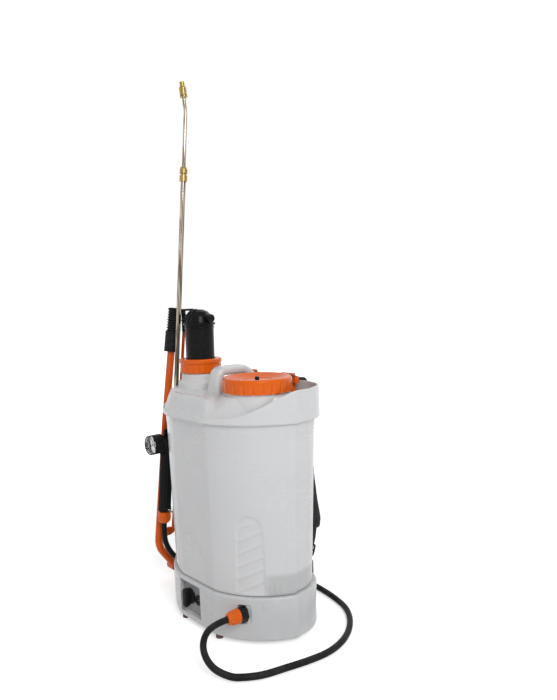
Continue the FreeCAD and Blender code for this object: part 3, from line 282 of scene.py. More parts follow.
def sweep(shape: Shape, section: Array, path: Array, side: Sequence[float], ends: Ends = Ends.POLES,
          scale: Optional[Array] = None, cloth: bool = False) -> Shape:
    """Adds a section carried along a path: each point is P + u S + v (T x S).

    Args:
        shape: Where the surface goes.
        section: Closed anticlockwise outline as (u, v) pairs.
        path: Points of the path.
        side: Direction of u, made square to the path's tangent T at each point.
        ends: How the first and last row close.
        scale: Size of the section at each path point, as one number or as (u, v).
        cloth: Whether to note the distances across and along, for a woven finish.

    Returns:
        The shape.
    """
    path = np.asarray(path, float)
    tangent = np.gradient(path, axis=0)
    tangent /= np.linalg.norm(tangent, axis=1, keepdims=True)
    side = np.asarray(side, float)
    across = side - (tangent @ side)[:, None] * tangent
    across /= np.linalg.norm(across, axis=1, keepdims=True)
    up = np.cross(tangent, across)
    size = np.ones((len(path), 2)) if scale is None else np.broadcast_to(
        np.asarray(scale, float).reshape(len(path), -1), (len(path), 2))
    u, v = section[None, :, 0] * size[:, :1], section[None, :, 1] * size[:, 1:]
    points = path[:, None] + u[..., None] * across[:, None] + v[..., None] * up[:, None]
    pairs = None
    if cloth:
        along = np.concatenate([[0.0], np.cumsum(np.linalg.norm(np.diff(path, axis=0), axis=1))])
        pairs = np.stack([u, np.broadcast_to(along[:, None], u.shape)], -1)
    return shape.grid(points, ends, cloth=pairs)


def circle(radius: float, count: int = 20) -> Array:
    """Round section."""
    return radius * np.stack([np.cos(turns(count)), np.sin(turns(count))], 1)


def rounded_box(width: float, height: float, corner: float, steps: int = 4) -> Array:
    """Rectangular section with round corners, anticlockwise from its right side."""
    w, h = width / 2, height / 2
    loop = [(w, 0), (w, h), (-w, h), (-w, -h), (w, -h), (w, 0)]
    return bend(loop, [corner] * 4, steps)[:-1]


def hexagon(across: float, corner: float) -> Array:
    """Hexagonal section with rounded corners, by its size across flats."""
    angles = turns(6) + pi / 6
    corners = across / 3 ** 0.5 * np.stack([np.cos(angles), np.sin(angles)], 1)
    middle = (corners[0] + corners[-1]) / 2
    return bend([middle, *corners, middle], [corner] * 6, 3)[:-1]


def bar(shape: Shape, start: Triple, end: Triple, radius: float, side: Sequence[float],
        cap: float = 0.25) -> Shape:
    """Adds a straight round bar, its two ends rounded over by a share of its radius."""
    start, end = np.asarray(start, float), np.asarray(end, float)
    back = cap * radius * unit(end - start)
    path = np.stack([start, start + back, end - back, end])
    return sweep(shape, circle(radius), path, side, scale=[1 - cap, 1, 1, 1 - cap])


# ---- shading groups --------------------------------------------------------------------------
class Tree:
    """Short way to add and join shader nodes."""

    def __init__(self, tree: bpy.types.NodeTree) -> None:
        """Takes the node tree that is worked on."""
        self.tree = tree

    def add(self, kind: str, values: Optional[dict] = None, links: Optional[dict] = None,
            **settings: object) -> bpy.types.Node:
        """Adds a node.

        Args:
            kind: Node type without its ShaderNode prefix.
            values: Constants for its inputs, by name or index.
            links: Outputs that feed its inputs, by name or index.
            settings: The node's own properties.

        Returns:
            The node.
        """
        node = self.tree.nodes.new("ShaderNode" + kind)
        for name, value in settings.items():
            setattr(node, name, value)
        for name, value in (values or {}).items():
            node.inputs[name].default_value = value
        for name, socket in (links or {}).items():
            self.tree.links.new(socket, node.inputs[name])
        return node

    def math(self, operation: str, first: object, second: object = 0.0,
             clamp: bool = False) -> bpy.types.NodeSocket:
        """Result of a Math node whose two inputs are sockets or numbers."""
        node = self.add("Math", operation=operation, use_clamp=clamp)
        for index, value in enumerate((first, second)):
            if isinstance(value, (int, float)):
                node.inputs[index].default_value = value
            else:
                self.tree.links.new(value, node.inputs[index])
        return node.outputs[0]

    def times(self, first: object, second: object, clamp: bool = False) -> bpy.types.NodeSocket:
        """Product of two values."""
        return self.math("MULTIPLY", first, second, clamp)

    def plus(self, first: object, second: object, clamp: bool = False) -> bpy.types.NodeSocket:
        """Sum of two values."""
        return self.math("ADD", first, second, clamp)

    def above(self, value: object, low: object, gain: float) -> bpy.types.NodeSocket:
        """How far a value lies above low, times the gain, kept between 0 and 1."""
        return self.times(self.math("SUBTRACT", value, low), gain, clamp=True)

    def seen(self) -> bpy.types.NodeSocket:
        """One for rays from the camera and for those in reflections or through glass, else 0."""
        path = self.add("LightPath")
        return self.math("MAXIMUM", path.outputs["Is Camera Ray"], self.math(
            "MAXIMUM", path.outputs["Is Glossy Ray"], path.outputs["Is Transmission Ray"]))

    def mix(self, share: object, first: object, second: object) -> bpy.types.NodeSocket:
        """Colour between two colours, each a socket or an RGB triple."""
        node = self.add("Mix", data_type="RGBA")
        for name, value in ((0, share), (6, first), (7, second)):
            if isinstance(value, bpy.types.NodeSocket):
                self.tree.links.new(value, node.inputs[name])
            else:
                node.inputs[name].default_value = value if name == 0 else (*value, 1.0)
        return node.outputs[2]


def new_group(name: str, inputs: dict[str, float], outputs: Sequence[str]) -> tuple[
        bpy.types.NodeTree, Tree, bpy.types.Node, bpy.types.Node]:
    """Empty node group with a Vector input, number inputs with defaults, and number outputs."""
    tree = bpy.data.node_groups.new(name, "ShaderNodeTree")
    tree.interface.new_socket("Vector", in_out="INPUT", socket_type="NodeSocketVector")
    for label, value in inputs.items():
        socket = tree.interface.new_socket(label, in_out="INPUT", socket_type="NodeSocketFloat")
        socket.default_value = value
    for label in outputs:
        tree.interface.new_socket(label, in_out="OUTPUT", socket_type="NodeSocketFloat")
    return tree, Tree(tree), tree.nodes.new("NodeGroupInput"), tree.nodes.new("NodeGroupOutput")


def grain_group() -> bpy.types.NodeTree:
    """Fine moulded grain and a slow cloudiness, from two noises."""
    tree, t, given, out = new_group("grain", {"Scale": 900.0, "Cloud Scale": 9.0}, ["Height", "Cloud"])
    fine = t.add("TexNoise", {"Detail": 3.0}, {"Vector": given.outputs["Vector"],
                                               "Scale": given.outputs["Scale"]})
    slow = t.add("TexNoise", {"Detail": 4.0, "Roughness": 0.6},
                 {"Vector": given.outputs["Vector"], "Scale": given.outputs["Cloud Scale"]})
    tree.links.new(fine.outputs["Fac"], out.inputs["Height"])
    tree.links.new(slow.outputs["Fac"], out.inputs["Cloud"])
    return tree


def scuff_group() -> bpy.types.NodeTree:
    """Thin handling marks: noise stretched along one axis and kept only near its middle value."""
    tree, t, given, out = new_group("scuffs", {"Scale": 60.0, "Amount": 0.5}, ["Mask"])
    longer = t.add("Mapping", {"Scale": (1.0, 0.25, 2.2), "Rotation": (0.4, 0.7, 0.3)},
                   {"Vector": given.outputs["Vector"]})
    lines = t.add("TexNoise", {"Detail": 5.0, "Roughness": 0.7, "Distortion": 0.8},
                  {"Vector": longer.outputs[0], "Scale": given.outputs["Scale"]})
    patches = t.add("TexNoise", {"Detail": 2.0, "Scale": 14.0}, {"Vector": given.outputs["Vector"]})
    off = t.math("ABSOLUTE", t.math("SUBTRACT", lines.outputs["Fac"], 0.5))
    thin = t.math("SUBTRACT", 1.0, t.times(off, 45.0), clamp=True)
    some = t.above(patches.outputs["Fac"], 0.48, 9.0)
    mask = t.times(t.times(thin, some), given.outputs["Amount"])
    tree.links.new(mask, out.inputs["Mask"])
    return tree


def edge_group() -> bpy.types.NodeTree:
    """Wear along raised edges: the surface's pointiness above its middle value, broken by noise."""
    tree, t, given, out = new_group("edge_wear", {"Amount": 0.5}, ["Mask"])
    form = t.add("NewGeometry")
    noise = t.add("TexNoise", {"Scale": 120.0, "Detail": 4.0}, {"Vector": given.outputs["Vector"]})
    point = t.above(form.outputs["Pointiness"], 0.53, 12.0)
    patchy = t.above(noise.outputs["Fac"], 0.4, 4.0)
    mask = t.times(t.times(point, patchy), given.outputs["Amount"], clamp=True)
    tree.links.new(mask, out.inputs["Mask"])
    return tree


def dust_group() -> bpy.types.NodeTree:
    """Dust that lies where the surface faces up, and a little everywhere low down."""
    tree, t, given, out = new_group("dust", {"Amount": 0.3}, ["Mask"])
    form = t.add("NewGeometry")
    up = t.add("SeparateXYZ", links={0: form.outputs["Normal"]}).outputs["Z"]
    height = t.add("SeparateXYZ", links={0: given.outputs["Vector"]}).outputs["Z"]
    noise = t.add("TexNoise", {"Scale": 35.0, "Detail": 6.0, "Roughness": 0.65},
                  {"Vector": given.outputs["Vector"]})
    flat = t.above(up, 0.35, 1.3)
    low = t.above(0.12, height, 4.0)
    patchy = t.above(noise.outputs["Fac"], 0.42, 5.0)
    mask = t.times(t.math("MAXIMUM", flat, low), t.times(patchy, given.outputs["Amount"]))
    tree.links.new(mask, out.inputs["Mask"])
    return tree


def weave_group() -> bpy.types.NodeTree:
    """Plain weave from the across and along distances: two crossed sines, raised in turn."""
    tree, t, given, out = new_group("weave", {"Pitch": 0.0014}, ["Height", "Shade"])
    parts = t.add("SeparateXYZ", links={0: given.outputs["Vector"]})
    across = t.math("SINE", t.times(t.math("DIVIDE", parts.outputs["X"], given.outputs["Pitch"]), 2 * pi))
    along = t.math("SINE", t.times(t.math("DIVIDE", parts.outputs["Y"], given.outputs["Pitch"]), 2 * pi))
    crossed = t.times(across, along)
    height = t.plus(t.times(crossed, 0.5), 0.5)
    shade = t.math("ABSOLUTE", crossed)
    tree.links.new(height, out.inputs["Height"])
    tree.links.new(shade, out.inputs["Shade"])
    return tree


class Effects:
    """The shared node groups, each built once."""

    makers = {"grain": grain_group, "scuffs": scuff_group, "edge_wear": edge_group, "dust": dust_group,
              "weave": weave_group}
    built: dict[str, bpy.types.NodeTree] = {}

    @classmethod
    def use(cls, t: Tree, name: str, vector: bpy.types.NodeSocket, **values: float) -> bpy.types.Node:
        """Places a group in a material, reading the given coordinates."""
        if name not in cls.built:
            cls.built[name] = cls.makers[name]()
        node = t.tree.nodes.new("ShaderNodeGroup")
        node.node_tree = cls.built[name]
        t.tree.links.new(vector, node.inputs["Vector"])
        for label, value in values.items():
            node.inputs[label.replace("_", " ")].default_value = value
        return node


# ---- finishes --------------------------------------------------------------------------------
Colour = tuple[float, float, float]


def start_material(name: str) -> tuple[bpy.types.Material, Tree, bpy.types.Node, bpy.types.NodeSocket]:
    """New material with its shader and the Object coordinates."""
    material = bpy.data.materials.new(name)
    material.use_nodes = True
    t = Tree(material.node_tree)
    shader = material.node_tree.nodes["Principled BSDF"]
    return material, t, shader, t.add("TexCoord").outputs["Object"]


@dataclass(frozen=True)
class Moulded:
    """Moulded plastic or rubber: a base colour with cloudiness, grain, handling marks and dust."""

    name: str
    slot: str
    colour: Colour
    roughness: float = 0.35
    deep: Optional[Colour] = None
    cloud: float = 0.35
    grain: float = 0.12
    grain_scale: float = 900.0
    scuffs: float = 0.35
    scuff_colour: Colour = (0.5, 0.5, 0.5)
    wear: float = 0.3
    dust: float = 0.15
    coat: float = 0.0
    glow: float = 0.0
    # Strength of a greyer band low down on the wall at the filler's end.
    low_band: float = 0.0
    shine: float = 0.3

    def build(self) -> bpy.types.Material:
        """Makes the material's nodes."""
        material, t, shader, place_at = start_material(self.name)
        grain = Effects.use(t, "grain", place_at, Scale=self.grain_scale)
        scuffs = Effects.use(t, "scuffs", place_at, Amount=self.scuffs)
        edge = Effects.use(t, "edge_wear", place_at, Amount=self.wear)
        dust = Effects.use(t, "dust", place_at, Amount=self.dust)
        deep = self.deep or tuple(0.72 * c for c in self.colour)
        cloud = t.above(grain.outputs["Cloud"], 0.35, 2 * self.cloud)
        colour = t.mix(cloud, self.colour, deep)
        if self.low_band:
            colour = self.darken_low_band(t, place_at, grain, colour)
        colour = t.mix(t.times(scuffs.outputs["Mask"], 0.5), colour, self.scuff_colour)
        colour = t.mix(t.times(edge.outputs["Mask"], 0.6), colour, self.scuff_colour)
        colour = t.mix(dust.outputs["Mask"], colour, (0.46, 0.42, 0.36))
        rough = t.plus(self.roughness, t.times(cloud, 0.12))
        rough = t.plus(rough, t.times(scuffs.outputs["Mask"], 0.3))
        rough = t.plus(rough, t.times(dust.outputs["Mask"], 0.5), clamp=True)
        bump = t.add("Bump", {"Strength": self.grain, "Distance": 0.0006},
                     {"Height": grain.outputs["Height"]})
        links = t.tree.links
        links.new(colour, shader.inputs["Base Color"])
        links.new(rough, shader.inputs["Roughness"])
        links.new(bump.outputs[0], shader.inputs["Normal"])
        shader.inputs["Specular IOR Level"].default_value = self.shine
        shader.inputs["Coat Weight"].default_value = self.coat
        shader.inputs["Coat Roughness"].default_value = 0.12
        if self.glow:
            shader.inputs["Subsurface Weight"].default_value = self.glow
            shader.inputs["Subsurface Radius"].default_value = (0.012, 0.012, 0.013)
        return material

    def darken_low_band(self, t: Tree, place_at: bpy.types.NodeSocket, grain: bpy.types.Node,
                colour: bpy.types.NodeSocket) -> bpy.types.NodeSocket:
        """Greyer band low down on the wall at the filler's side, mixed towards a darker copy of the colour.
        """
        parts = t.add("SeparateXYZ", links={0: place_at})
        edge = t.plus(parts.outputs["Z"], t.times(grain.outputs["Cloud"], 0.006))
        low = t.above(0.134, edge, 120.0)
        side = t.above(parts.outputs["X"], 0.150, 70.0)
        share = t.times(t.times(low, side), self.low_band)
        return t.mix(share, colour, tuple(0.7 * c for c in self.colour))


@dataclass(frozen=True)
class Metal:
    """Polished or painted metal with drawing lines along its length and a slow tarnish."""

    name: str
    slot: str
    colour: Colour
    tarnish: Colour
    roughness: float = 0.18
    lines: float = 0.15
    share: float = 0.5
    streaks: float = 0.5

    def build(self) -> bpy.types.Material:
        """Makes the material's nodes."""
        material, t, shader, place_at = start_material(self.name)
        drawn = t.add("Mapping", {"Scale": (1.0, 1.0, 0.02)}, {"Vector": place_at})
        lines = t.add("TexNoise", {"Scale": 1400.0, "Detail": 2.0}, {"Vector": drawn.outputs[0]})
        grain = Effects.use(t, "grain", place_at, Scale=500.0, Cloud_Scale=26.0)
        scuffs = Effects.use(t, "scuffs", place_at, Scale=90.0, Amount=0.6)
        dull = t.above(grain.outputs["Cloud"], 0.45, 4 * self.share)
        long = t.add("Mapping", {"Scale": (1.0, 1.0, 0.012)}, {"Vector": place_at})
        bands = t.add("TexNoise", {"Scale": 230.0, "Detail": 1.0}, {"Vector": long.outputs[0]})
        band = t.above(bands.outputs["Fac"], 0.42, 6.0)
        dark = t.math("MAXIMUM", t.times(dull, 0.6), t.times(band, self.streaks))
        colour = t.mix(dark, self.colour, self.tarnish)
        rough = t.plus(self.roughness, t.times(dull, 0.18))
        rough = t.plus(rough, t.times(scuffs.outputs["Mask"], 0.15))
        bump = t.add("Bump", {"Strength": self.lines, "Distance": 0.0002}, {"Height": lines.outputs["Fac"]})
        links = t.tree.links
        links.new(colour, shader.inputs["Base Color"])
        links.new(rough, shader.inputs["Roughness"])
        links.new(bump.outputs[0], shader.inputs["Normal"])
        shader.inputs["Metallic"].default_value = 1.0
        return material


@dataclass(frozen=True)
class Clear:
    """Clear moulded cover with a trace of haze."""

    name: str
    slot: str

    def build(self) -> bpy.types.Material:
        """Makes the material's nodes."""
        material, t, shader, place_at = start_material(self.name)
        scuffs = Effects.use(t, "scuffs", place_at, Scale=160.0, Amount=0.5)
        rough = t.plus(0.03, t.times(scuffs.outputs["Mask"], 0.2))
        t.tree.links.new(rough, shader.inputs["Roughness"])
        shader.inputs["Base Color"].default_value = (0.97, 0.98, 0.98, 1.0)
        shader.inputs["Transmission Weight"].default_value = 1.0
        shader.inputs["IOR"].default_value = 1.3
        return material


@dataclass(frozen=True)
class Woven:
    """Nylon webbing or pad cover: a weave that follows the strap, with fuzz and a faded tone."""

    name: str
    slot: str
    colour: Colour
    faded: Colour
    pitch: float = 0.0014

    def build(self) -> bpy.types.Material:
        """Makes the material's nodes."""
        material, t, shader, place_at = start_material(self.name)
        pairs = t.add("Attribute", attribute_name="cloth").outputs["Vector"]
        weave = Effects.use(t, "weave", pairs, Pitch=self.pitch)
        grain = Effects.use(t, "grain", place_at, Scale=1600.0, Cloud_Scale=18.0)
        dust = Effects.use(t, "dust", place_at, Amount=0.2)
        worn = t.above(grain.outputs["Cloud"], 0.4, 2.0)
        colour = t.mix(t.times(weave.outputs["Shade"], 0.5), self.colour, self.faded)
        colour = t.mix(t.times(worn, 0.5), colour, self.faded)
        colour = t.mix(dust.outputs["Mask"], colour, (0.3, 0.28, 0.25))
        height = t.plus(weave.outputs["Height"], t.times(grain.outputs["Height"], 0.4))
        bump = t.add("Bump", {"Strength": 0.6, "Distance": 0.0005}, {"Height": height})
        links = t.tree.links
        links.new(colour, shader.inputs["Base Color"])
        links.new(bump.outputs[0], shader.inputs["Normal"])
        shader.inputs["Roughness"].default_value = 0.85
        shader.inputs["Sheen Weight"].default_value = 0.25
        return material


# The tank's wall is made greyer in a band low down at the filler's end.
TANK = Moulded("milky_plastic", "tank_plastic", (0.675, 0.68, 0.69), 0.24, (0.625, 0.63, 0.645), 0.4, 0.06,
               700.0,
               0.3, (0.7, 0.7, 0.7), 0.1, 0.08, glow=0.3, low_band=0.7, shine=0.5)
BASE = Moulded("base_plastic", "tank_plastic", (0.62, 0.628, 0.64), 0.25, (0.54, 0.55, 0.565), 0.5, 0.08,
               700.0,
               0.3, (0.62, 0.62, 0.62), 0.1, 0.2, glow=0.2, shine=0.5)
ORANGE = Moulded("orange_plastic", "orange_plastic", (0.80, 0.13, 0.003), 0.2, (0.62, 0.08, 0.001), 0.5,
                 0.06,
                 1100.0, 0.2, (0.85, 0.28, 0.06), 0.2, 0.02, shine=0.2)
PAINT = Moulded("orange_paint", "orange_paint", (0.76, 0.11, 0.002), 0.2, (0.60, 0.075, 0.001), 0.5, 0.05,
                2000.0, 0.4, (0.42, 0.32, 0.27), 0.5, 0.03, shine=0.2)
BLACK = Moulded("black_plastic", "black_plastic", (0.010, 0.010, 0.011), 0.3, (0.018, 0.018, 0.019), 0.6,
                0.12,
                1300.0, 0.3, (0.06, 0.06, 0.06), 0.3, 0.04, shine=0.08)
GLOSS = Moulded("glossy_black", "black_plastic", (0.004, 0.004, 0.0045), 0.14, (0.007, 0.007, 0.008), 0.6,
                0.03,
                1300.0, 0.2, (0.04, 0.04, 0.04), 0.2, 0.02, shine=0.1)
RUBBER = Moulded("grip_rubber", "grip_rubber", (0.012, 0.012, 0.0125), 0.5, (0.022, 0.022, 0.023), 0.6, 0.3,
                 1700.0, 0.4, (0.07, 0.065, 0.06), 0.4, 0.06, shine=0.06)
HOSE = Moulded("hose_rubber", "hose_rubber", (0.010, 0.010, 0.0105), 0.38, (0.017, 0.017, 0.018), 0.6, 0.15,
               1500.0, 0.4, (0.07, 0.07, 0.07), 0.1, 0.06, shine=0.08)
FEET = Moulded("foot_rubber", "foot_rubber", (0.11, 0.02, 0.016), 0.7, (0.06, 0.015, 0.012), 0.6, 0.3,
               1500.0,
               0.5, (0.3, 0.2, 0.18), 0.4, 0.4)
SEAL = Moulded("seal_rubber", "seal_rubber", (0.03, 0.03, 0.03), 0.65)
CASE = Moulded("battery_case", "battery_case", (0.05, 0.05, 0.055), 0.5)
DIAL = Moulded("dial_white", "dial_white", (0.82, 0.82, 0.8), 0.5, scuffs=0.1, wear=0.0, dust=0.02)
INK = Moulded("dial_ink", "dial_white", (0.012, 0.010, 0.02), 0.6, scuffs=0.1, wear=0.0, dust=0.0)
STEEL = Metal("steel", "steel", (0.46, 0.40, 0.32), (0.07, 0.05, 0.03), 0.16, 0.1, 0.45, 0.85)
PLATED = Metal("plated_steel", "steel", (0.6, 0.6, 0.58), (0.3, 0.28, 0.26), 0.2, 0.1, 0.5, 0.2)
BRASS = Metal("brass", "brass", (0.36, 0.25, 0.09), (0.09, 0.055, 0.02), 0.22, 0.15, 0.6, 0.4)
GLASS = Clear("clear_cover", "clear_cover")
PANEL = Moulded("panel_plastic", "tank_plastic", (0.30, 0.30, 0.31), 0.4, (0.22, 0.22, 0.23), dust=0.3)
THREAD = Moulded("stitching", "webbing", (0.06, 0.06, 0.062), 0.8, scuffs=0.1, wear=0.0)
WEBBING = Woven("webbing", "webbing", (0.012, 0.012, 0.013), (0.045, 0.045, 0.048))
PADDING = Woven("pad_cover", "webbing", (0.010, 0.010, 0.011), (0.03, 0.03, 0.032), 0.0026)

Finish = Moulded | Metal | Clear | Woven
_materials: dict[str, bpy.types.Material] = {}


def material_of(finish: Finish) -> bpy.types.Material:
    """The finish's material, built the first time that it is asked for."""
    if finish.name not in _materials:
        _materials[finish.name] = finish.build()
    return _materials[finish.name]


def finish_node(node: str, finish: Finish) -> None:
    """Gives a CAD node its finish and leaves its shape alone."""
    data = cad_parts[node].data
    if not data.materials:
        data.materials.append(None)
    for index in range(len(data.materials)):
        data.materials[index] = material_of(finish)
    log.info("finished %s as %s", node, finish.name)


def finish_nodes(**finishes: Finish) -> None:
    """Gives CAD nodes their finishes, in the order given."""
    for node, finish in finishes.items():
        finish_node(node, finish)


def make(name: str, shape: Shape, finish: Finish, body: str, replaces: Sequence[str] = (),
         sharp: float = 40.0) -> bpy.types.Object:
    """Turns a shape into a piece of the model.

    Args:
        name: The piece's name.
        shape: Its surfaces, in tank millimetres.
        finish: Its finish.
        body: The body that it moves with.
        replaces: CAD nodes that it stands for.
        sharp: Angle in degrees above which an edge stays sharp.

    Returns:
        The object.
    """
    piece = bpy.data.objects.new(name, shape.mesh(name, sharp))
    bpy.context.scene.collection.objects.link(piece)
    piece.data.materials.append(material_of(finish))
    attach(piece, body)
    if replaces:
        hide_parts(*replaces)
    log.info("made %s, %d points, on %s", name, shape.count, body)
    return piece


# ---- camera, light and floor -----------------------------------------------------------------
@dataclass
class Studio:
    """Camera, soft lamps, pale floor and white backdrop."""

    eye: Triple = (920.4, -703.6, 618.7)
    yaw: float = 46.7
    pitch: float = 5.01
    roll: float = 1.62
    focal: float = 614.96
    image_height: float = 700.0
    sensor: float = 36.0
    ambient: float = 0.38
    lift: float = 0.5

    def camera(self) -> None:
        """Puts the camera at the eye, turned by yaw, pitch and roll."""
        yaw, pitch, roll = (radians(v) for v in (self.yaw, self.pitch, self.roll))
        ahead = Vector((-sin(yaw) * cos(pitch), cos(yaw) * cos(pitch), -sin(pitch)))
        right = Vector((cos(yaw), sin(yaw), 0.0))
        up = right.cross(ahead)
        level, lift = right * cos(roll) - up * sin(roll), right * sin(roll) + up * cos(roll)
        data = bpy.data.cameras.new("camera")
        data.sensor_width, data.lens = self.sensor, self.focal / self.image_height * self.sensor
        data.clip_end = 60.0
        camera = bpy.data.objects.new("camera", data)
        axes = Matrix((level, lift, -ahead)).transposed().to_4x4()
        axes.translation = Vector(place(self.eye))
        camera.matrix_world = axes
        bpy.context.scene.collection.objects.link(camera)
        bpy.context.scene.camera = camera

    def lamp(self, name: str, at: Triple, aim: Triple, size: float, watts: float) -> None:
        """Adds a square area lamp that shines from one point towards another."""
        data = bpy.data.lights.new(name, "AREA")
        data.size, data.energy = size, watts
        lamp = bpy.data.objects.new(name, data)
        lamp.location = at
        lamp.rotation_euler = (Vector(aim) - Vector(at)).to_track_quat("-Z", "Y").to_euler()
        bpy.context.scene.collection.objects.link(lamp)

    def backdrop(self) -> None:
        """World that is white to the eye and in reflections, and dimmer as a light."""
        world = bpy.data.worlds.new("studio")
        bpy.context.scene.world = world
        world.use_nodes = True
        t = Tree(world.node_tree)
        seen = t.seen()
        strength = t.plus(self.ambient, t.times(seen, 1.0 - self.ambient))
        shade = world.node_tree.nodes["Background"]
        shade.inputs["Color"].default_value = (1.0, 1.0, 1.0, 1.0)
        world.node_tree.links.new(strength, shade.inputs["Strength"])

    def floor(self) -> None:
        """Large pale floor, lifted to near white for the eye but still holding the shadow."""
        data = bpy.data.meshes.new("floor")
        half = 9.0
        data.from_pydata([(-half, -half, 0), (half, -half, 0), (half, half, 0), (-half, half, 0)], [],
                         [(0, 1, 2, 3)])
        floor = bpy.data.objects.new("floor", data)
        bpy.context.scene.collection.objects.link(floor)
        material, t, shader, place_at = start_material("floor")
        speckle = t.add("TexNoise", {"Scale": 3.0, "Detail": 3.0}, {"Vector": place_at})
        colour = t.mix(speckle.outputs["Fac"], (0.9, 0.9, 0.9), (0.87, 0.87, 0.87))
        t.tree.links.new(colour, shader.inputs["Base Color"])
        shader.inputs["Roughness"].default_value = 0.9
        shader.inputs["Specular IOR Level"].default_value = 0.1
        seen = t.seen()
        shader.inputs["Emission Color"].default_value = (1.0, 1.0, 1.0, 1.0)
        parts = t.add("SeparateXYZ", links={0: place_at})
        away = t.math("SQRT", t.plus(t.times(parts.outputs["X"], parts.outputs["X"]),
                                     t.times(parts.outputs["Y"], parts.outputs["Y"])))
        far = t.above(away, 0.6, 0.8)
        glow = t.plus(self.lift, t.times(far, 1.0 - self.lift))
        t.tree.links.new(t.times(seen, glow), shader.inputs["Emission Strength"])
        data.materials.append(material)

    def build(self) -> None:
        """Makes the whole setting."""
        self.camera()
        self.backdrop()
        self.floor()
        self.lamp("key", (2.5, -1.1, 2.4), (0, 0, 0.4), 1.5, 58)
        self.lamp("fill", (-1.5, -2.6, 1.5), (0, 0, 0.35), 1.2, 4)
        self.lamp("back", (-0.3, 2.7, 2.6), (0, 0, 0.4), 2.2, 20)
        bpy.context.scene.view_settings.view_transform = "Standard"


# ---- hose ------------------------------------------------------------------------------------
@dataclass
class Hose:
    """Rubber hose from the outlet's nut, over the floor round the tank and up to the handle's nut."""

    radius: float = 5.75
    reach: float = 31.3
    inside: float = 38.0
    gun_depth: float = 6.0
    length: float = 1.108

    def route(self) -> Array:
        """Control points: straight out of each nut, then laid along the floor."""
        foot = np.array([GUN_X, *GUN_FOOT])
        up = unit(np.array([GUN_X, *GUN_HEAD]) - foot)
        start, end = OUTLET + OUTLET_WAY * self.reach, foot + up * self.gun_depth
        floor = [(112, -138, 45), (142, -144, 22), (170, -124, 7), (187, -104, 6), (203, -80, 6),
                 (214, -44, 6),
                 (228, -1, 6), (237, 45, 6), (228, 95, 6), (202, 140, 6), (164, 175, 6), (119, 191, 6),
                 (73, 199, 7), (26, 203, 7), (-22, 203, 7), (-66, 208, 6), (-110, 207, 6), (-150, 190, 6),
                 (-177, 158, 6), (-187, 124, 7), (-186, 94, 13), (-184, 64, 28), (-182, 38, 43),
                 (-181, 14, 56), (-181, -6, 82)]
        return np.vstack([start, start + OUTLET_WAY * self.inside, floor, end - up * self.inside, end])

    def build(self) -> None:
        """Makes the hose as one smooth spline."""
        route = place(self.route())
        curve = bpy.data.curves.new("hose_line", "CURVE")
        curve.dimensions = "3D"
        spline = curve.splines.new("NURBS")
        spline.points.add(len(route) - 1)
        spline.points.foreach_set("co", np.hstack([route, np.ones((len(route), 1))]).ravel())
        spline.order_u = 3
        spline.use_endpoint_u = True
        spline.resolution_u = 12
        curve.bevel_depth, curve.bevel_resolution = self.radius * MM, 6
        curve.use_fill_caps = True
        hose = bpy.data.objects.new("rubber_hose", curve)
        bpy.context.scene.collection.objects.link(hose)
        curve.materials.append(material_of(HOSE))
        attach(hose, "tank")
        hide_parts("hose")
        log.info("made rubber_hose on tank")


# ---- tank ------------------------------------------------------------------------------------
class Plan:
    """D-shaped outline of the tank, by distance s from the middle of its front.

    The outline is straight in front, round at the sides and hollow at the back. It is worked out
    for two sizes, and any other size lies on the straight lines between their points.
    """

    def __init__(self, half: float, front: float, side: float, back: float, hollow: float, corner: float,
                 flat: float) -> None:
        """Takes the plan's sizes in millimetres."""
        self.sizes = (half, front, side, back, hollow, corner, flat)
        thin, wide = self.outline(-10.0), self.outline(10.0)
        self.middle, self.spread = (thin + wide) / 2, (wide - thin) / 20
        closed = np.vstack([self.middle, self.middle[:1]])
        self.along = np.concatenate([[0.0], np.cumsum(np.linalg.norm(np.diff(closed, axis=0), axis=1))])
        self.total = self.along[-1]
        self.along = self.along - flat
        table = np.hstack([self.middle, self.spread])
        self.table = np.vstack([table, table[:1]])

    def outline(self, grow: float, count: int = 240) -> Array:
        """Dense outline at a size: lines, and arcs through three points each."""
        half, front, side, back, hollow, corner, flat = self.sizes
        half, front, back = half + grow, front - grow, back + grow
        bow = (0.76 * half, front + 0.42 * (side - front))
        low, high = (half, side), (half - 2, back - corner)
        knee, end = (half - 0.30 * corner, back - 0.25 * corner), (half - corner, back)
        fold = (flat, front)

        def other(point: Pair) -> Pair:
            """The same point on the other side."""
            return (-point[0], point[1])

        return np.vstack([
            line_between(other(fold), fold, count), arc_through(fold, bow, low, count),
            line_between(low, high, count), arc_through(high, knee, end, count),
            arc_through(end, (0, back - hollow), other(end), count),
            arc_through(other(end), other(knee), other(high), count),
            line_between(other(high), other(low), count),
            arc_through(other(low), other(bow), other(fold), count)])

    def at(self, s: Array, grow: Array) -> Array:
        """Points (x, y) at distances s, pushed out by grow; both broadcast together."""
        s = (np.asarray(s, float) - self.along[0]) % self.total + self.along[0]
        x, y, dx, dy = (np.interp(s, self.along, self.table[:, k]) for k in range(4))
        return np.stack([x + grow * dx, y + grow * dy], -1)

    def stations(self, step: float, fine: Sequence[tuple[float, float, float]] = ()) -> Array:
        """Distances round the plan, closer together inside each (from, to, step) band."""
        first, last = -self.total / 2, self.total / 2
        marks = [np.arange(first, last, step)]
        keep = np.ones(len(marks[0]), bool)
        for low, high, closer in fine:
            keep &= (marks[0] < low - closer / 2) | (marks[0] > high + closer / 2)
            marks.append(np.arange(low, high + closer / 2, closer))
        marks[0] = marks[0][keep]
        return np.unique(np.round(np.concatenate(marks), 4))


PLAN = Plan(172.0, -66.0, 34.0, 122.8, 4.8, 74.0, 50.0)


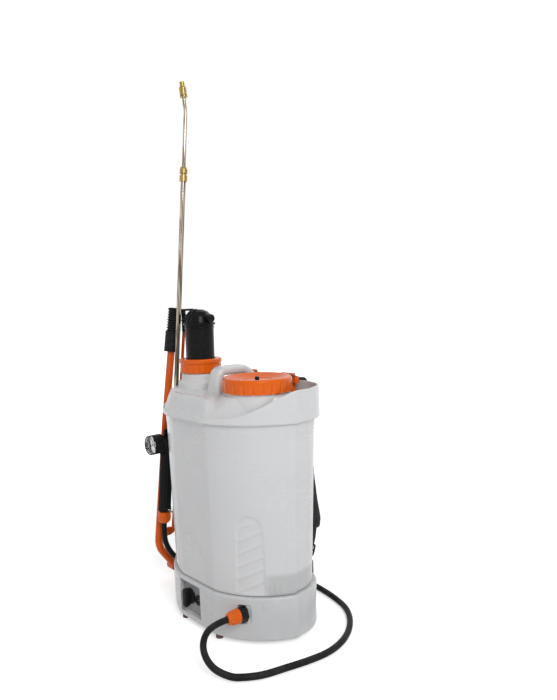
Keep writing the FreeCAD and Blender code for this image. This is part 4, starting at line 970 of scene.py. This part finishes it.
@dataclass
class Tank:
    """Blow-moulded tank: leaning walls, embossed panels, collar, spill guard, deck, shoulder, necks."""

    seam: float = 88.0
    rim: float = 398.0
    inset: float = 6.0
    outset: float = 2.0
    reach: float = 9.0
    collar: float = 9.6
    collar_inside: float = 5.6
    ledge: float = 405.0
    bead: float = 409.0
    guard: float = 457.0
    deck: float = 404.0
    shoulder: float = 440.0
    shoulder_edge: float = 28.0
    neck: float = 60.0
    neck_bore: float = 56.0
    neck_top: float = 470.7
    mound: float = 446.0
    pump_neck: float = 37.1
    pump_neck_top: float = 488.0

    def guard_top(self, s: Array) -> Array:
        """Height of the collar's upper edge: low at the pump's side and in front, tall at the filler's."""
        x, y = np.moveaxis(PLAN.at(s, self.reach), -1, 0)
        front = np.interp(x, [60, 84, 104, 126, 148, 162, 172, 178, 181],
                          [self.bead, self.bead + 1.5, 412, 419, 431, 442, 449, 455, self.guard])
        back = self.bead + (self.guard - self.bead) * ease(x, -70.0, -40.0)
        top = np.where(y < 75, front, back)
        kernel = np.hanning(9)
        wrapped = np.concatenate([top[-4:], top, top[:4]])
        return np.convolve(wrapped, kernel / kernel.sum(), "valid")

    def relief(self, s: Array, z: Array) -> Array:
        """Depth of the moulded panels: an arch in front and a ribbed arch at the filler's corner.

        An arch is |s - middle| / half combined with its rounded top as a superellipse, and its edge
        is eased over a few millimetres. The ribs are a raised cosine of the height less a slope.
        """
        front = np.hypot(np.abs(s + 20) / (46 + 0.05 * (180 - z)), np.maximum(z - 132, 0) / 48)
        depth = -1.5 * ease(front, 1.03, 0.93)
        across = (s - 128) / (24.0 + 0.035 * (235 - z))
        corner = (np.abs(across) ** 2.6 + (np.maximum(z - 196, 0) / 40) ** 2.4) ** 0.42
        inside = ease(corner, 1.05, 0.90) * ease(z, 92, 97)
        slope = (z - 0.42 * (s - 128) - 222.0) / 23.0
        ribs = (0.5 + 0.5 * np.cos(2 * pi * slope)) ** 7 * ease(z, 232, 218)
        depth = depth - inside * (2.2 - 1.7 * ribs)
        back = np.hypot(np.minimum(PLAN.total / 2 - np.abs(s), 200) / 92, (z - 240) / 128)
        for tab in (166.0, 176.0, 187.0):
            depth = depth + 1.3 * ease(np.hypot(s - tab, 0.32 * (z - 103)), 4.4, 2.8)
        return depth - 3.0 * ease(back, 1.03, 0.9)

    def body(self) -> Shape:
        """Wall, collar and deck as one closed surface."""
        front, arch, tabs = (-70, 30, 2.2), (92, 158, 1.9), (160, 193, 1.0)
        seams = [(195.5, 201.5, 0.75), (-201.5, -195.5, 0.75)]
        s = PLAN.stations(3.1, [front, arch, tabs, *seams])
        level = np.zeros_like(s)
        rows = []

        def row(grow: Array, z: Array) -> None:
            """Adds a row at a distance out from the plan and a height, each one number or an array."""
            rows.append((grow + level, z + level))

        foot = bend([(-60, 88.4), (-6.8, 88.4), (-5.9, 96)], [3.5], 4)
        for grow, z in foot[:-1]:
            row(grow, z)
        parting = 0.5 * (np.exp(-((np.abs(s) - 198.5) / 0.8) ** 2))
        for z in np.concatenate([np.arange(95, 250, 2.2), np.arange(250, 388, 4.5)]):
            lean = -self.inset + (self.inset + self.outset) * (z - self.seam) / (self.rim - self.seam)
            belly = 0.8 * ease(z, 372, 386)
            row(lean + belly + self.relief(s, z + level) + parting * ease(z, 95, 110), z)
        top = self.guard_top(s)
        for grow, z in bend([(2.6, 389), (2.6, 396.5), (self.collar, 399.5), (self.collar, self.ledge)],
                            [2.5, 3.0], 5)[1:]:
            row(grow, z)
        for share in np.linspace(0.06, 1, 15)[:-1]:
            row(self.collar - 0.6 * share, self.ledge + share * (top - 2.2 - self.ledge))
        lip = bend([(9.0, -2.2), (9.2, 0), (5.6, 0), (5.6, -4)], [1.7, 1.7], 5)
        for grow, drop in lip:
            row(grow, top + drop)
        low = np.minimum(top - 4.2, self.deck + 3.5)
        for share in np.linspace(0, 1, 9)[1:]:
            row(self.collar_inside, (top - 4) * (1 - share) + low * share)
        points = [np.concatenate([PLAN.at(s, grow), z[:, None]], 1) for grow, z in rows]
        rim, centre = PLAN.at(s, 5.2 + level), np.array([0.0, 34.0])
        radius = np.linalg.norm(rim - centre, axis=1)
        rings = [inward + level for inward in np.arange(0.0, 31.0, 1.5)]
        rings += [30.0 + (radius - 31.0) * share for share in np.linspace(0.02, 1, 48)]
        for inward in rings:
            flat = rim + (inward / radius)[:, None] * (centre - rim)
            height = self.deck_height(flat[:, 0], flat[:, 1], inward)
            points.append(np.concatenate([flat, height[:, None]], 1))
        return Shape().grid(np.stack(points))

    def deck_height(self, x: Array, y: Array, inward: Array) -> Array:
        """Height of the tank's top: a deck, a shoulder with a shallow tray, and the filler's mound.

        Args:
            x: Place along the width.
            y: Place along the depth.
            inward: Distance in from the collar.

        Returns:
            The height at each point.
        """
        slope = ease(inward, -3, 19)
        end = self.shoulder_edge + 14 + 84 * (1 - ease(y, -5, 45))
        side = 1 - ease(x, self.shoulder_edge - 8, end)
        raised = self.deck + (self.shoulder - self.deck) * side * slope
        line = -23.0 - 9.0 * ((x + 62.0) / 62.0) ** 2
        ends = ease(x, -140, -122) * (1 - ease(x, -4, 12))
        raised = raised + 4.0 * ends * np.exp(-((y - line) / 3.5) ** 2)
        raised = raised - 2.0 * ends * ease(y, line - 17, line - 13) * (1 - ease(y, line - 4, line))
        from_filler = np.hypot(x - FILLER[0], y - FILLER[1])
        mound = self.deck + (self.mound - self.deck) * (1 - ease(from_filler, 58, 96)) * ease(inward, -2,
                                                                                              13)
        height = higher(raised, mound, 14.0)
        return np.where(from_filler < 57.5, 402.0, height)

    def necks(self, shape: Shape) -> Shape:
        """Filler's neck with its thread, and the stepped neck that the pump's nut screws on."""
        wall = bend([(self.neck + 1, 436), (self.neck + 0.8, 443), (self.neck, 449), (self.neck, 468.5),
                     (self.neck - 1.5, self.neck_top), (self.neck_bore, self.neck_top),
                     (self.neck_bore, 396),
                     (self.neck + 1, 396)], [4, 3, 1.5, 1.5, 1, 1], 3)
        profile = refined(wall, 16, 0.8)

        def thread(angle: Array, radius: Array, height: Array) -> Array:
            """Helical ridge on the neck's outside, cosine-shaped with a pitch of 5 mm."""
            phase = (height - 5 * angle / (2 * pi)) / 5
            keep = ease(height, 452, 454) * (1 - ease(height, 465, 467)) * (radius > self.neck - 1)
            return -0.9 + 0 * angle + 0.9 * keep * (0.5 + 0.5 * np.cos(2 * pi * phase)) ** 2

        lathe(shape, profile, (*FILLER, 0), (0, 0, 1), 120, thread, Ends.RING)
        steps = bend([(0, 404), (50.5, 404), (47.5, 440), (45.5, 453), (39.5, 456), (39, 467),
                      (self.pump_neck, 470),
                      (self.pump_neck, self.pump_neck_top), (0, self.pump_neck_top)],
                     [0, 5, 3, 3, 3, 1, 1], 4)
        return lathe(shape, steps, (*PUMP, 0), (0, 0, 1), 96)

    def handle(self) -> None:
        """Arched handle between the pump and the filler, a rounded box section swelling a little at the
        middle of its top and underside.
        """
        path = bend([(2, -8, 428), (2, -1.5, 466), (2, 4, 481), (2, 62, 481), (2, 98, 450), (2, 104, 406)],
                    [24, 11, 26, 34], 10)
        path = spaced(path, 3.0)
        along = np.linspace(0, 1, len(path))
        width = 1.0 + 0.35 * ease(0.16 - along, 0.0, 0.14)
        section = rounded_box(31.0, 15.0, 6.0, 5)
        section[:, 1] += 1.2 * (1 - (section[:, 0] / 15.5) ** 2) * np.sign(section[:, 1])
        size = np.stack([width, np.ones_like(width)], 1)
        arch = sweep(Shape(), section, path, (1, 0, 0), scale=size)
        make("handle_arch", arch, TANK, "tank", ["carrying_handle"])

    def build(self) -> None:
        """Makes the tank and its handle."""
        make("tank_body", self.necks(self.body()), TANK, "tank", ["tank_shell"], sharp=38)
        self.handle()


@dataclass
class Base:
    """Base housing with the control recess, its knob and socket, the outlet's flat and the feet."""

    low: float = 8.0
    top: float = 88.0
    panel: tuple[float, float, float, float] = (-52.0, 11.0, 20.0, 82.0)
    panel_depth: float = 12.0
    pad_half: float = 17.0
    knob: Pair = (-30.5, 51.0)
    face: float = -56.5

    def pad(self, s: Array, z: Array) -> Array:
        """How far the wall is pushed in to meet the outlet's upright plane, inside its rounded square."""
        facing, along = OUTLET_WAY[:2], np.array([cos(OUTLET_TURN), sin(OUTLET_TURN)])
        here = PLAN.at(s, 0 * s)
        spread = PLAN.at(s, 0 * s + 1) - here
        push = -((here - OUTLET[:2]) @ facing) / (spread @ facing)
        inside = (here + push[:, None] * spread - OUTLET[:2]) @ along
        reach = np.hypot(np.maximum(np.abs(inside) - self.pad_half + 5, 0),
                         np.maximum(np.abs(z - OUTLET[2]) - self.pad_half + 5, 0))
        near = (s > 60) & (s < 180)
        return np.where(near, np.minimum(push, -2.2) * ease(reach, 5.8, 4.2), 0.0)

    def recess(self, s: Array, z: Array) -> Array:
        """Depth of the control recess, a rounded rectangle with nearly upright sides."""
        left, right, low, high = self.panel
        u = np.maximum(np.abs(s - (left + right) / 2) - (right - left) / 2 + 3, 0)
        v = np.maximum(np.abs(z - (low + high) / 2) - (high - low) / 2 + 3, 0)
        return -self.panel_depth * ease(np.hypot(u, v), 3.5, 2.6)

    def housing(self) -> Shape:
        """Wall, rounded edges and underside of the housing as one closed surface."""
        s = PLAN.stations(3.0, [(-53.4, -51.0, 0.3), (10.0, 12.6, 0.3), (84, 132, 0.8)])
        rows = [(np.full_like(s, g), z) for g, z in bend([(-70, 8), (-1.4, 8), (-0.9, 14)], [4.5], 6)[:-1]]
        heights = np.unique(np.round(np.concatenate([
            np.arange(14, 84, 2.5), np.arange(18.8, 21.4, 0.3), np.arange(80.8, 83.3, 0.3),
            np.arange(39.0, 45, 0.5), np.arange(71, 77, 0.5)]), 3))
        for z in heights:
            level = np.full_like(s, z)
            side = -1.0 + (z - self.low) / (self.top - self.low)
            waist = -0.9 * np.exp(-((z - 48) / 24) ** 2) * ease(s, 128, 150) * (1 - ease(s, 300, 330))
            crease = -0.7 * np.exp(-((s - 64) / 2.2) ** 2) - 0.7 * np.exp(-((s - 199) / 1.6) ** 2)
            rows.append((side + waist + crease + self.recess(s, level) + self.pad(s, level), z))
        rows += [(np.full_like(s, g), z) for g, z in
                 bend([(-0.1, 84), (0, 88), (-9.5, 88), (-9.5, 86)], [2.2, 0.5], 5)[1:]]
        points = [np.concatenate([PLAN.at(s, g), np.full((len(s), 1), z)], 1) for g, z in rows]
        return Shape().grid(np.stack(points))

    def controls(self) -> None:
        """Speed knob with its bar grip, and the outlet's hexagon."""
        x, z = self.knob
        shape = Shape()
        disc = bend([(0, 0), (15, 0), (15, 4.2), (13.4, 5), (0, 5)], [0.4, 0.8, 0.8], 3)
        lathe(shape, disc, (x, self.face, z), (0, -1, 0), 72,
              lambda a, r, h: -0.5 * (r > 14) * (0.5 + 0.5 * np.cos(24 * a)) ** 6)
        path = spaced(np.array([(x, self.face - 4, z - 17.8), (x, self.face - 4, z + 17.8)]), 1.2)
        along = np.abs(np.linspace(-1, 1, len(path)))
        size = np.sqrt(np.clip(1 - np.maximum(along - 0.78, 0) ** 2 / 0.0576, 0.05, 1))
        section = rounded_box(12, 13, 3.2, 4)
        section[:, 0] *= 1 - 0.16 * ease(section[:, 1], -4, 6)
        sweep(shape, section, path + [0, -6.6, 0], (1, 0, 0), scale=np.stack([size, 0.3 + 0.7 * size], 1))
        make("knob_bar", shape, BLACK, "knob", ["speed_knob"])
        out = np.array([0.0, 1.0, 5.0, 9.0, 12.4, 13.0])[:, None] * OUTLET_WAY + OUTLET
        body = sweep(Shape(), hexagon(24.0, 1.6), out, (0, 0, 1), scale=[1, 1, 1, 1, 1, 0.94])
        make("outlet_hex", body, BLACK, "tank", ["outlet_fitting"], sharp=30)

    def build(self) -> None:
        """Makes the housing and finishes what is fixed to it."""
        make("base_body", self.housing(), BASE, "tank", ["base_housing"], sharp=50)
        self.controls()
        finish_nodes(base_plate=BASE, control_panel=PANEL, rubber_feet=FEET, base_screws=PLATED,
                     battery_pack=CASE, charge_socket=BLACK, electric_pump=BLACK, socket_contact=BRASS,
                     strap_anchors=BLACK)


def flutes(count: int, depth: float, low: float, high: float, radius: float, sharp: int = 10,
           taper: float = 0.5) -> Ripple:
    """Narrow upright grooves between two heights of a turned skirt.

    Each is a raised cosine of the angle to a high power, deepest at the lower height and shallower
    upward, and none where the radius is less than given.
    """
    def ripple(angle: Array, r: Array, height: Array) -> Array:
        """Change of radius."""
        band = ease(height, low, low + 1.0) * (1 - ease(height, high - 1.5, high))
        fade = 1 - taper * np.clip((height - low) / (high - low), 0, 1)
        return -depth * band * fade * (r > radius) * (0.5 + 0.5 * np.cos(count * angle)) ** sharp
    return ripple


@dataclass
class Filler:
    """Screw cap with its fluted skirt and dished top, its gasket, breather and strainer."""

    radius: float = 63.5
    top: float = 476.4
    height: float = 25.5
    bore: float = 60.4
    flutes: int = 22

    def build(self) -> None:
        """Makes the cap and finishes the rest."""
        r, top, low = self.radius, self.top, self.top - self.height
        outer = bend([(self.bore, low), (r, low), (r - 0.2, top - 7.5), (r - 1.0, top - 2.5),
                      (r - 3.2, top),
                      (r - 7.5, top), (r - 13, top - 2.2), (r - 24, top - 6.2), (34, top - 6.9),
                      (32.5, top - 5.9),
                      (30.5, top - 5.9), (29, top - 7.1), (2.6, top - 7.3)],
                     [0.8, 4, 3, 2.6, 3, 8, 10, 0.5, 0.5, 0.5, 0.5], 5)
        inner = [(2.6, top - 9.6), (36, top - 9.2), (r - 12, top - 4.2), (self.bore, top - 4.2)]
        profile = np.vstack([refined(outer, 14, 1.2), inner])
        shape = lathe(Shape(), profile, (*FILLER, 0), (0, 0, 1), 16 * self.flutes,
                      flutes(self.flutes, 2.6, low + 0.2, top - 7.0, r - 2.0, 7), Ends.RING)
        make("cap_shell", shape, ORANGE, "cap", ["filler_cap"], sharp=55)
        finish_nodes(cap_gasket=SEAL, breather_knob=BLACK, strainer_basket=BASE)


@dataclass
class Pump:
    """Ring nut, chamber and domed head of the hand pump."""

    centre: Pair = PUMP
    ring_radius: float = 41.8
    ring_top: float = 498.0
    ring_height: float = 27.4
    flange: float = 565.0
    notches: int = 18

    def ring(self) -> Shape:
        """Ring nut: fluted skirt under a plain rolled lip."""
        r, top = self.ring_radius, self.ring_top
        low = top - self.ring_height
        outer = bend([(37.5, low), (r - 0.2, low), (r - 0.6, top - 10), (r + 1.2, top - 7.6),
                      (r + 1.2, top - 2),
                      (r - 1.2, top), (31.5, top), (30.4, top - 2), (30.4, top - 5), (37.5, top - 5)],
                     [1, 1.5, 2, 2.2, 1.6, 1.2, 1, 0.5], 5)
        return lathe(Shape(), refined(outer, 14, 1.2), (*self.centre, 0), (0, 0, 1), 16 * self.notches,
                     flutes(self.notches, 1.9, low + 0.2, top - 9.5, r - 2.0, 10), Ends.RING)

    def ribs(self) -> Shape:
        """Raised slanting ribs and two rings laid on the dome."""
        shape = Shape()
        x, y = self.centre
        profile = np.array([(28.5, 6.0), (27.2, 12.0), (25.5, 18.0), (22.0, 23.0), (17.5, 27.5),
                            (11.0, 30.6), (5, 31.6)])
        dense = spaced(profile, 1.5)
        for index in range(6):
            start = radians(150 + 24 * index)
            angle = start + radians(26) * np.linspace(0, 1, len(dense))
            path = np.stack([x + (dense[:, 0] + 0.2) * np.cos(angle),
                             y + (dense[:, 0] + 0.2) * np.sin(angle),
                             self.flange + dense[:, 1]], 1)
            size = np.sqrt(np.clip(1 - np.linspace(-1, 1, len(path)) ** 8, 0.03, 1))
            sweep(shape, circle(1.7, 12), path, (cos(start + 2), sin(start + 2), 0.2), scale=size)
        for height, radius, thick in ((-4.5, 29.2, 1.3), (2.4, 31.4, 1.6)):
            ring = circle(radius, 72)
            path = np.concatenate([ring + self.centre, np.full((72, 1), self.flange + height)], 1)
            across = np.concatenate([ring / radius, np.zeros((72, 1))], 1)
            loop = circle(thick, 10)
            points = path[:, None] + loop[None, :, :1] * across[:, None] + loop[None, :,
                                                                                1:] * np.array([0, 0, 1.0])
            shape.grid(points[::-1], Ends.RING)
        return shape

    def build(self) -> None:
        """Makes the nut and the dome's relief, and finishes the rest."""
        make("ring_shell", self.ring(), ORANGE, "ring_nut", ["pump_ring_nut"], sharp=55)
        make("dome_relief", self.ribs(), GLOSS, "pump_head")
        finish_nodes(pump_barrel=BLACK, pump_chamber=GLOSS, pump_dome=GLOSS, dome_port_cap=BLACK,
                     rod_clip=PLATED)


@dataclass
class Lever:
    """Bent lever with its ribbed grip and sleeve, and the rod to the pump."""

    x: float = -206.0
    low: Pair = (17.0, 362.0)
    high: Pair = (50.0, 587.0)
    top: float = 599.0
    grip: float = 14.0
    grip_length: float = 50.0

    def axis(self, z: float) -> Triple:
        """Point of the lever's upper stretch at a height."""
        return on_axis(self.x, self.low, self.high, z)

    def build(self) -> None:
        """Makes the grip and finishes the rest."""
        start = self.axis(self.top - self.grip_length)
        way = np.subtract(self.axis(self.top), start)
        length = float(np.linalg.norm(way))
        heights = np.linspace(0, length - 3.0, 130)
        wave = (0.5 + 0.5 * np.cos(2 * pi * (heights - 2.0) / 5.6)) ** 1.5
        radius = self.grip - 2.4 + 2.4 * wave
        cap = bend([(radius[-1], length - 3), (self.grip - 1, length), (0.0, length)], [2.5], 5)[1:]
        profile = np.vstack([[(8.2, 0)], np.stack([radius, heights], 1), cap[:-1]])
        shape = lathe(Shape(), profile, start, way, 40)
        make("lever_grip_ribbed", shape, RUBBER, "lever", ["lever_grip"], sharp=60)
        finish_nodes(lever_sleeve=BLACK, lever_tube=PAINT, connecting_rod=PAINT, lever_pivot_pin=PLATED)


@dataclass
class Gun:
    """Trigger handle: fluted grip, valve, trigger, bail, gauge, and the nuts of the hose."""

    x: float = GUN_X
    foot: Pair = GUN_FOOT
    head: Pair = GUN_HEAD
    grip_low: float = 171.0
    grip_top: float = 295.0
    gauge_stem: float = 14.0
    gauge_depth: float = 15.2
    gauge_z: float = 317.0

    def axis(self, z: float) -> Triple:
        """Point of the handle's axis at a height."""
        return on_axis(self.x, self.foot, self.head, z)

    def grip(self) -> Shape:
        """Grip with twelve flutes, a rolled collar at each end and a waist."""
        start, end = self.axis(self.grip_low), self.axis(self.grip_top)
        length = float(np.linalg.norm(np.subtract(end, start)))
        outline = bend([(0, 0), (12.4, 0), (14, 2), (14, 6), (13.3, 8), (13.3, length - 9),
                        (14, length - 7),
                        (14, length - 1.6), (12.4, length), (0, length)], [0.3, 1, 1, 2, 2, 1, 1, 0.3], 4)
        profile = spaced(outline, 1.6)

        def ripple(angle: Array, r: Array, height: Array) -> Array:
            """Rounded flutes between the collars."""
            band = ease(height, 9, 14) * (1 - ease(height, length - 15, length - 10)) * (r > 11)
            return -1.5 * band * (0.5 + 0.5 * np.cos(12 * angle)) ** 2
        return lathe(Shape(), profile, start, np.subtract(end, start), 96, ripple)

    def hose_nuts(self) -> None:
        """Fluted nuts at the outlet and at the handle's foot."""
        start = OUTLET + OUTLET_WAY * 13.3
        outline = bend([(8.3, 0), (12.6, 0), (12.8, 3), (12.0, 16), (9.4, 22.5), (8.5, 24), (6.1, 24),
                        (6.1, 13),
                        (8.3, 13)], [0.8, 2, 4, 3, 1, 0.5, 0.3], 4)
        shape = lathe(Shape(), refined(outline, 26, 1.0), start, OUTLET_WAY, 160,
                      flutes(10, 1.1, 3.0, 22.0, 8.8, 6, 0.0), Ends.RING)
        make("tank_nut_shell", shape, ORANGE, "hose_nut", ["tank_hose_nut"], sharp=55)
        start = self.axis(self.foot[1])
        way = np.subtract(self.axis(169.0), start)
        length = float(np.linalg.norm(way)) - 0.2
        outline = bend([(6.1, 0), (9.2, 0), (12.8, 4.5), (13.6, 9), (13.6, 16), (13.0, length),
                        (6.1, length)],
                       [0.8, 3, 3, 3, 0.8], 4)
        shape = lathe(Shape(), refined(outline, -1, 1.0), start, way, 160,
                      flutes(10, 0.9, 4.0, 19.0, 11.0, 6, 0.0), Ends.RING)
        make("handle_nut_shell", shape, ORANGE, "handle_nut", ["gun_hose_nut"], sharp=55)

    def dial(self) -> None:
        """Scale of the gauge: ticks, plain numbers and an arc, as thin prints on the dial."""
        face = self.axis(self.gauge_z)[1] - self.gauge_stem - self.gauge_depth - 0.05
        centre = np.array([self.x, face, self.gauge_z])

        def spoke(angle: float, r: float, depth: float = 0.0) -> Array:
            """Point of the dial by its angle from straight down, clockwise to the reader."""
            return centre + np.array([-r * sin(angle), -depth, -r * cos(angle)])

        shape = Shape()
        for index in range(26):
            angle = radians(55 + 10 * index)
            long = index % 5 == 0
            path = np.array([spoke(angle, 13.0 if long else 14.4, 0.1), spoke(angle, 16.2, 0.1)])
            sweep(shape, rounded_box(0.75 if long else 0.4, 0.12, 0.04, 1), path,
                  np.cross(path[1] - path[0], (0, -1, 0)))
        angles = np.radians(np.linspace(55, 305, 60))
        arc = np.stack([spoke(a, 16.5, 0.1) for a in angles])
        sweep(shape, rounded_box(0.5, 0.12, 0.04, 1), arc, (0, -1, 0))
        make("dial_scale", shape, INK, "tank")
        for index in range(6):
            self.number(str(2 * index), spoke(radians(55 + 50 * index), 10.4, 0.15), index)

    def number(self, digits: str, at: Array, index: int) -> None:
        """One plain number on the dial, turned into a mesh."""
        curve = bpy.data.curves.new("digits", "FONT")
        curve.body, curve.size, curve.extrude = digits, 4.6 * MM, 0.05 * MM
        curve.align_x, curve.align_y = "CENTER", "CENTER"
        holder = bpy.data.objects.new("digits", curve)
        bpy.context.scene.collection.objects.link(holder)
        bpy.context.view_layer.update()
        data = bpy.data.meshes.new_from_object(holder)
        data.transform(Matrix.Translation(Vector(place(at))) @ Matrix.Rotation(radians(90), 4, "X"))
        bpy.data.objects.remove(holder)
        data.materials.clear()
        data.materials.append(material_of(INK))
        piece = bpy.data.objects.new(f"dial_number_{index}", data)
        bpy.context.scene.collection.objects.link(piece)
        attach(piece, "tank")

    def build(self) -> None:
        """Makes the grip, nuts and dial, and finishes the rest."""
        make("gun_grip_fluted", self.grip(), RUBBER, "tank", ["gun_grip"], sharp=60)
        self.hose_nuts()
        self.dial()
        finish_nodes(gun_body=BLACK, trigger_bracket=BLACK, trigger=BLACK, trigger_screw=PLATED,
                     trigger_bail=PLATED, gauge_case=BLACK, gauge_dial=DIAL, gauge_needle=BLACK,
                     gauge_lens=GLASS)


class Lance:
    """Telescopic lance with its brass lock and nozzle."""

    def build(self) -> None:
        """Finishes the lance's parts."""
        finish_nodes(lance_nut=BLACK, lance_clip=BLACK, lance_outer_tube=STEEL, lance_inner_tube=STEEL,
                     lance_sleeve=BRASS, lance_lock_nut=BRASS, nozzle_body=BRASS, nozzle_cap=BRASS)


@dataclass
class Harness:
    """Two padded straps on webbing, with hooks, buckles and lower loops."""

    middle: float = 26.0
    reach: float = 54.0
    width: float = 50.0

    def line(self, x: float) -> Array:
        """Middle line of a strap from its hook down to its lower end."""
        points = [(x, 119, 462), (x, 139, 461), (x, 152, 446), (x, 152, 405), (x, 146, 335), (x, 149, 270),
                  (x, 157, 215), (x, 165, 176), (x, 157, 137), (x, 144, 103)]
        return spaced(bend(points, [6, 14, 60, 150, 150, 120, 30, 60], 8), 2.5)

    def strap(self, side: int) -> None:
        """One strap: a pad with bound edges and rows of stitching over a band of webbing."""
        x = self.middle + side * self.reach
        path = self.line(x)
        along = np.linspace(0, 1, len(path))
        name = "right" if side > 0 else "left"
        shape = Shape()
        band = even_loop(rounded_box(38.0, 2.2, 1.0, 3), 1.2)
        sweep(shape, band, path, (1, 0, 0), cloth=True)
        webbing = make(f"strap_band_{name}", shape, WEBBING, "tank", [f"shoulder_strap_{name}"])
        keep = (along > 0.15) & (along < 0.86)
        run = path[keep]
        share = np.linspace(0, 1, len(run))
        ends = np.sqrt(np.clip(1 - np.maximum(np.abs(share - 0.5) - 0.47, 0) ** 2 / 0.0009, 0.02, 1))
        quilt = 1 - 0.16 * np.exp(-((share[:, None] * 9 % 1 - 0.5) / 0.05) ** 2)[:, 0]
        section = even_loop(rounded_box(self.width, 11.5, 5.2, 6), 1.6)
        section[:, 1] *= 1 + 0.10 * np.cos(section[:, 0] / 25 * pi / 2) ** 2
        size = np.stack([0.55 + 0.45 * ends, ends * quilt], 1)
        pad = sweep(Shape(), section, run, (1, 0, 0), scale=size, cloth=True)
        piece = make(f"strap_pad_{name}", pad, PADDING, "tank")
        edges = Shape()
        for row in (-1, 1):
            loop = run + [row * (self.width / 2 - 1.0), 0, 0]
            sweep(edges, circle(2.0, 10), loop[3:-3], (1, 0, 0), cloth=True)
        make(f"strap_binding_{name}", edges, WEBBING, "tank")
        self.stitches(name, run)
        self.buckle(name, x)
        log.info("strap %s is %.0f mm long", name, np.linalg.norm(np.diff(path, axis=0), axis=1).sum())

    def stitches(self, name: str, run: Array) -> None:
        """Two rows of short raised stitches on the pad's outer face."""
        shape = Shape()
        tangent = np.gradient(run, axis=0)
        tangent /= np.linalg.norm(tangent, axis=1, keepdims=True)
        outward = np.cross(tangent, (1.0, 0, 0))
        outward *= np.sign(outward[:, 1:2] + 1e-6)
        for row in (-17.0, 17.0):
            for index in range(6, len(run) - 8, 2):
                centre = run[index] + outward[index] * 6.1 + [row, 0, 0]
                ends = np.array([centre - tangent[index] * 1.6, centre, centre + tangent[index] * 1.6])
                sweep(shape, circle(0.45, 6), ends, (1, 0, 0), scale=[0.5, 1, 0.5])
        make(f"strap_stitches_{name}", shape, THREAD, "tank")

    def buckle(self, name: str, x: float) -> None:
        """Ladder buckle on the lower webbing and the loop over the hook's bar."""
        shape = Shape()
        frame_line = bend([(x - 22, 152.6, 124), (x + 22, 152.6, 124), (x + 22, 144.8, 105),
                           (x - 22, 144.8, 105),
                           (x - 22, 152.6, 124)], [2, 2, 2], 4)
        sweep(shape, circle(1.9, 12), spaced(frame_line, 3.0)[:-1], (0, 0.4, 1), Ends.RING)
        bar(shape, (x - 21, 148.6, 114.5), (x + 21, 148.6, 114.5), 1.7, (0, 0, 1))
        make(f"strap_buckle_{name}", shape, BLACK, "tank")
        loop = Shape()
        line = bend([(x, 121, 465), (x, 104.5, 469.5), (x, 102.2, 460), (x, 104.5, 450.5), (x, 121, 459.5)],
                    [5, 5, 5], 6)
        band = rounded_box(36.0, 1.8, 0.8, 2)
        sweep(loop, band, spaced(line, 2.0), (1, 0, 0), cloth=True)
        make(f"strap_loop_{name}", loop, WEBBING, "tank")

    def build(self) -> None:
        """Makes both straps and finishes the hooks."""
        for side in (-1, 1):
            self.strap(side)
        finish_node("strap_hooks", ORANGE)


def main() -> None:
    """Builds the setting and every sub-assembly in turn."""
    Studio().build()
    for part in (Hose(), Tank(), Base(), Filler(), Pump(), Lever(), Gun(), Lance(), Harness()):
        part.build()
        log.info("%s is done", type(part).__name__)


if __name__ == "__main__":
    main()
